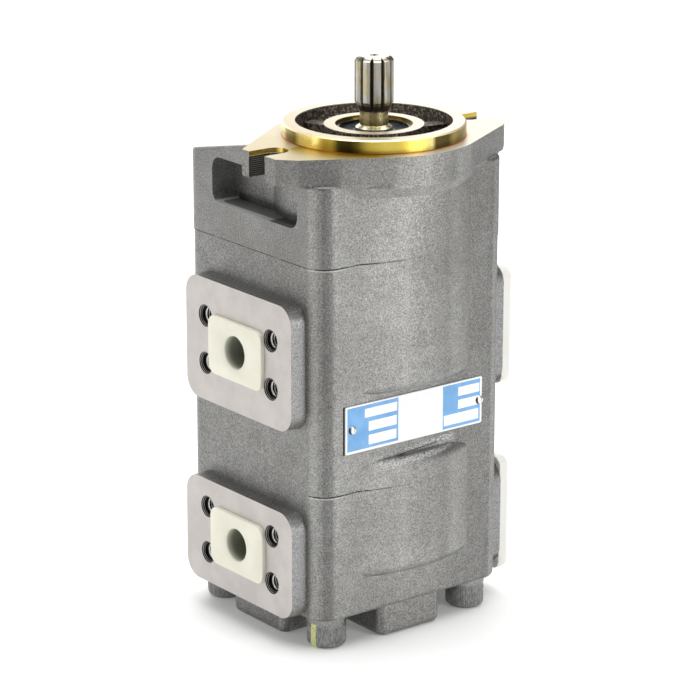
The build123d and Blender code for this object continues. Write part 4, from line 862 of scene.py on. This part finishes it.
def inlet_cover(name):
    """A moulded pad cover: a plate with a stepped border, a raised rim round its dish, and a spigot."""
    low, high = low_high(name)
    level = PORT_LEVELS[0] if name.startswith("front") else PORT_LEVELS[1]
    thick = high.x - PAD_FACE
    depth = PAD_FACE - low.x
    drop = middle(name)[2] - level
    width, height = high.y - low.y, high.z - low.z
    cover = block("cover_" + name.split("_")[0], width, height, thick)
    pick("edges", lambda e: abs(e.verts[0].co.z - e.verts[1].co.z) > thick * MM / 2)
    bpy.ops.mesh.bevel(offset=COVER_CORNER * MM, segments=8, affect="EDGES")
    pick("faces", lambda f: f.normal.z > 0.9)
    bpy.ops.mesh.inset(thickness=COVER_BORDER * MM)
    bpy.ops.mesh.inset(thickness=0.5 * MM, depth=-0.5 * MM)

    def on_rim(edge):
        outside = all(
            abs(vert.co.x) > (width / 2 - COVER_CORNER - 0.1) * MM or abs(vert.co.y) > (height / 2 - 0.1) * MM
            for vert in edge.verts
        )
        on_top = min(vert.co.z for vert in edge.verts) > thick * MM * 0.99
        return on_top and outside and edge.calc_face_angle(0) > 1.2

    pick("edges", on_rim)
    bpy.ops.mesh.bevel(offset=COVER_EDGE * MM, segments=4, affect="EDGES")
    pick("edges", lambda e: max(v.co.z for v in e.verts) < thick * MM * 0.01)
    bpy.ops.mesh.bevel(offset=COVER_BACK_EDGE * MM, segments=2, affect="EDGES")
    close_up()
    spigot, rim, dish = COVER_SPIGOT_RADIUS, COVER_RIM_RADIUS, COVER_DISH_RADIUS
    for part, profile, operation in (
        ("spigot", [(spigot - 1.05, -depth), (spigot, -depth + 1.5), (spigot, thick / 2)], "UNION"),
        ("rim", [(rim, thick / 2), (rim, thick - 0.45), (rim - 0.4, thick), (dish, thick),
                 (dish, thick / 2)], "UNION"),
        ("dish", [(dish - 0.8, thick - 15.0), (dish - 0.3, thick - 14.4), (dish, thick - 1.2),
                  (dish + 0.9, thick + 0.02), (dish + 0.9, thick + 1.0)], "DIFFERENCE"),
    ):
        other = turned(part, profile, 72)
        other.location.y = -drop * MM
        combine(cover, other, operation)
    settle(cover, (PAD_FACE, *middle(name)[1:]), "right")
    return cover


def plate():
    """The name plate, cut from thin sheet, with a softened front edge and two rivet holes."""
    width, height = PLATE_HIGH.x - PLATE_LOW.x, PLATE_HIGH.z - PLATE_LOW.z
    thick = PLATE_HIGH.y - PLATE_LOW.y
    sheet = rounded_plate("printed_plate", width, height, thick, PLATE_CORNER, PLATE_EDGE)
    for node in ("left_rivet", "right_rivet"):
        across, _, up = middle(node)
        drill = turned("drill", [(RIVET_HOLE_RADIUS, -1.0), (RIVET_HOLE_RADIUS, thick + 1.0)], 32)
        drill.location = (across - PLATE_MIDDLE_X) * MM, (up - PLATE_MIDDLE_Z) * MM, 0
        combine(sheet, drill, "DIFFERENCE")
    settle(sheet, (PLATE_MIDDLE_X, PLATE_HIGH.y, PLATE_MIDDLE_Z), "front")
    return sheet


def rivet(name):
    """A domed drive rivet with a dimple in its head."""
    low, high = low_high(name)
    across, _, up = middle(name)
    shank = high.y - PLATE_LOW.y
    head = PLATE_LOW.y - low.y
    dome = RIVET_HEAD_RADIUS
    shape = [(1.15, -shank), (1.3, -shank + 0.3), (1.3, 0.0), (dome, 0.0), (dome, head * 0.2),
             (2.38, head * 0.45), (2.05, head * 0.7), (1.55, head * 0.88), (0.95, head * 0.98),
             (0.55, head), (0.42, head * 0.92), (0.2, head * 0.86)]
    pin = turned(name.split("_")[0] + "_plate_rivet", shape, 40)
    settle(pin, (across, PLATE_LOW.y, up), "front")
    return pin


def thread_coil():
    """The thread of one port hole: a ridge wound inside the hole's wall."""
    deselect()
    bpy.ops.mesh.primitive_circle_add(vertices=3, radius=THREAD_RIDGE * MM, rotation=(radians(90), 0, 0))
    coil = shape_it("port_thread")
    bpy.ops.transform.resize(value=(1.0, 1.0, 0.95), center_override=(0, 0, 0))
    bpy.ops.transform.rotate(value=radians(90), orient_axis="Y", center_override=(0, 0, 0))
    shape = bmesh.from_edit_mesh(coil.data)
    outer = max(vert.co.x for vert in shape.verts)
    bpy.ops.transform.translate(value=(THREAD_OUTER_RADIUS * MM - outer, 0, -THREAD_DEPTH * MM))
    bpy.ops.mesh.edge_face_add()
    bpy.ops.object.mode_set(mode="OBJECT")
    wind = coil.modifiers.new("wind", "SCREW")
    wind.axis = "Z"
    wind.angle = 2 * pi
    wind.screw_offset = THREAD_PITCH * MM
    wind.iterations = THREAD_TURNS
    wind.steps = wind.render_steps = 28
    wind.use_merge_vertices = False
    choose(coil)
    bpy.ops.object.modifier_apply(modifier=wind.name)
    bpy.ops.object.mode_set(mode="EDIT")
    close_up()
    return coil


def knurled_band(name):
    """The rolled knurl round a screw's head."""
    low, high = low_high(name)
    outer = (high.x - low.x) / 2
    bottom = low.z + KNURL_START
    top = bottom + KNURL_LENGTH
    profile = [(outer - 0.5, bottom), (outer + 0.02, bottom + 0.1), (outer + 0.05, bottom + 0.5),
               (outer + 0.05, top - 0.5), (outer + 0.02, top - 0.1), (outer - 0.5, top),
               (outer - 0.5, bottom)]
    band = turned("knurl_" + name, profile, KNURL_STEPS)
    choose(band)
    bpy.ops.object.mode_set(mode="EDIT")

    def ridge(vert):
        turn = round(atan2(vert.co.y, vert.co.x) / (2 * pi / KNURL_STEPS))
        return vert.co.xy.length > outer * MM and turn % 2 == 0

    pick("verts", ridge)
    bpy.ops.transform.resize(value=(KNURL_RISE, KNURL_RISE, 1), center_override=(0, 0, 0))
    bpy.ops.object.mode_set(mode="OBJECT")
    settle(band, (*middle(name)[:2], 0))
    return band


def lip_seal():
    """The shaft seal: a rubber-covered case, a thin web, a dust lip and a sealing lip."""
    low, high = low_high("shaft_seal")
    outer, top, bottom = (high.x - low.x) / 2, high.z, low.z
    shape = [(outer, bottom), (outer, top - 0.4), (outer - 0.4, top), (19.5, top), (19.1, top - 0.2),
             (18.8, top - 0.9), (16.2, top - 1.2), (13.8, top - 1.3), (12.5, top - 0.9), (11.3, top - 0.35),
             (10.5, top - 0.1),
             (10.26, top - 0.4), (10.3, top - 1.2), (11.3, top - 3.0), (10.4, top - 5.0), (10.26, top - 5.5),
             (10.7, top - 6.3), (12.6, top - 7.0), (12.8, top - 8.0), (14.2, top - 8.0), (14.6, top - 4.9),
             (18.2, top - 4.4), (18.5, bottom), (outer, bottom)]
    return turned("lip_seal", shape, 96)


def spring_clip():
    """The ring that holds the seal: an open spring ring with two holed lugs."""
    low, high = low_high("seal_retaining_ring")
    outer = (high.x - low.x) / 2
    bottom, top = low.z, high.z
    inner = outer - CLIP_WIDTH
    profile = [(inner, bottom), (outer, bottom), (outer, top - 0.2), (outer - 0.2, top),
               (inner + 0.2, top), (inner, top - 0.2), (inner, bottom)]
    ring = turned("seal_clip", profile, 120)
    gap = block("gap", CLIP_GAP, 8.0, top - bottom + 2.0)
    bpy.ops.object.mode_set(mode="OBJECT")
    gap.location = (0, -outer * MM + 1.0 * MM, (bottom - 1.0) * MM)
    combine(ring, gap, "DIFFERENCE")
    for side in (-1, 1):
        lug = turned("lug", [(LUG_RADIUS, bottom), (LUG_RADIUS, top - 0.15), (LUG_RADIUS - 0.2, top)], 32)
        lug.location = (side * LUG_SIDE * MM, -(outer - 4.4) * MM, 0)
        eye = turned("eye", [(1.0, bottom - 1.0), (1.0, top + 1.0)], 24)
        eye.location = (side * LUG_SIDE * MM, -(outer - 4.7) * MM, 0)
        combine(ring, lug, "UNION")
        combine(ring, eye, "DIFFERENCE")
    return ring


def repaint(material, *names):
    """Gives CAD nodes their material."""
    for name in names:
        slots = nodes[name].data.materials
        slots.clear()
        slots.append(material)


# Put it all together

scene.view_settings.view_transform = "Standard"
photo_camera()

deselect()
bpy.ops.mesh.primitive_plane_add(size=14, location=(0, 0, FLOOR_LEVEL))
floor = bpy.context.object
floor.name = "studio_floor"
paper = Finish("studio_paper")
floor_tone = paper.mix(paper.noise(0.002, 2.0), (0.90, 0.90, 0.895), (0.93, 0.93, 0.925))
floor.data.materials.append(paper.surface(
    Base_Color=floor_tone, Roughness=0.9, Emission_Color=(1.0, 1.0, 1.0), Emission_Strength=0.14,
))

world = bpy.data.worlds.new("studio_air")
scene.world = world
world.use_nodes = True
world.node_tree.nodes["Background"].inputs["Color"].default_value = (1.0, 1.0, 1.0, 1.0)
world.node_tree.nodes["Background"].inputs["Strength"].default_value = 0.13

softbox("overhead", (0.15, 0.1, 1.5), 2.0, 2.0, 43.0)
softbox("behind", (0.9, 2.0, 0.5), 2.4, 1.4, 26.0)
# Upright softboxes round the pump: name, compass angle, power
for name, angle, power in (
    ("left_back", 110, 1.5), ("left", 150, 2.65), ("left_front", 180, 2.2), ("front_right", 285, 6.9),
):
    place = (SOFTBOX_RADIUS * cos(radians(angle)), SOFTBOX_RADIUS * sin(radians(angle)), SOFTBOX_HEIGHT)
    softbox(name, place, 0.5, 1.0, power)

inner_steel = metal("gear_steel", (0.60, 0.59, 0.57), (0.48, 0.47, 0.45), 0.30, 0.5, (1, 1, 6))
oxide = screw_oxide("screw_oxide")
striped = screw_oxide("screw_oxide_painted", (*middle("left_front_screw")[:2], radians(STRIPE_ANGLE)))
zinc = metal("washer_zinc", (0.34, 0.34, 0.325), (0.20, 0.20, 0.19), 0.34, 0.9)
cream_plastic = moulding(
    "plug_plastic", (0.84, 0.815, 0.695), (0.80, 0.775, 0.65), 0.42, 0.12, (0.72, 0.725, 0.60),
)
white_plastic = moulding("cover_plastic", (0.80, 0.785, 0.745), (0.765, 0.75, 0.71), 0.45, 0.1)
black_rubber = rubber("seal_rubber")
clip_steel = metal("clip_steel", (0.10, 0.095, 0.085), (0.045, 0.042, 0.038), 0.3, 0.8)

repaint(cover_iron(), "front_cover")
upper, lower = (UPPER_JOINT, UPPER_SEAM), (LOWER_JOINT, LOWER_SEAM)
repaint(housing_iron("front_housing_iron", PORT_LEVELS[0], [upper, lower], ledge=True), "front_housing")
repaint(housing_iron("rear_housing_iron", PORT_LEVELS[1], [lower]), "rear_housing")
repaint(shaft_steel(), "drive_shaft")
repaint(inner_steel, "front_driven_gear", "rear_drive_gear", "rear_driven_gear", "coupling_sleeve")
blocks = [f"{place}_block" for place in ("front_upper", "front_lower", "rear_upper", "rear_lower")]
pressure_seals = [name.replace("block", "pressure_seal") for name in blocks]
repaint(metal("block_aluminium", (0.80, 0.80, 0.81), (0.66, 0.66, 0.67), 0.36, 0.5, (1, 1, 6)), *blocks)
bushes = [name.replace("block", gear + "_bush") for name in blocks for gear in ("drive", "driven")]
repaint(metal("bush_bronze", (0.74, 0.52, 0.26), (0.58, 0.38, 0.17), 0.34, 0.8), *bushes)
repaint(black_rubber, "front_joint_seal", "rear_joint_seal", *pressure_seals)
dowels = [f"{place}_{side}_dowel" for place in ("front", "rear") for side in ("left", "right")]
repaint(metal("dowel_steel", (0.72, 0.72, 0.71), (0.58, 0.58, 0.57), 0.24, 0.6), *dowels)
screws = ["left_front_screw", "left_back_screw", "right_front_screw", "right_back_screw"]
repaint(oxide, *screws[1:])
repaint(striped, screws[0])
repaint(zinc, *[name.replace("screw", "washer") for name in screws])

for name in ("front_outlet_plug", "rear_outlet_plug"):
    dress(outlet_plug(name), cream_plastic, "plug_plastic", "casing", name)
for name in ("front_inlet_cover", "rear_inlet_cover"):
    dress(inlet_cover(name), white_plastic, "cover_plastic", "casing", name)
dress(plate(), plate_print(), "plate_metal", "casing", "name_plate")
rivets = rivet_metal()
for side in ("left", "right"):
    dress(rivet(side + "_rivet"), rivets, "rivet_aluminium", "casing", side + "_rivet")
for name in screws:
    dress(knurled_band(name), striped if name == screws[0] else oxide, "screw_steel", "casing", angle=20)
dress(lip_seal(), black_rubber, "seal_rubber", "casing", "shaft_seal")
dress(spring_clip(), clip_steel, "ring_steel", "casing", "seal_retaining_ring")

threads = thread_iron()
coil = thread_coil()
for row, level in enumerate(PORT_LEVELS):
    for column, (side_y, side_z) in enumerate(((-1, -1), (-1, 1), (1, -1), (1, 1))):
        thread = copy_of(coil, f"port_thread_{row}_{column}")
        across, up = side_y * OUTLET_HOLE_REACH[0], side_z * OUTLET_HOLE_REACH[1]
        settle(thread, (THREAD_START - PAD_FACE, PORT_Y + across, level + up), "left")
        dress(thread, threads, "cast_iron", "casing")
bpy.data.objects.remove(coil)
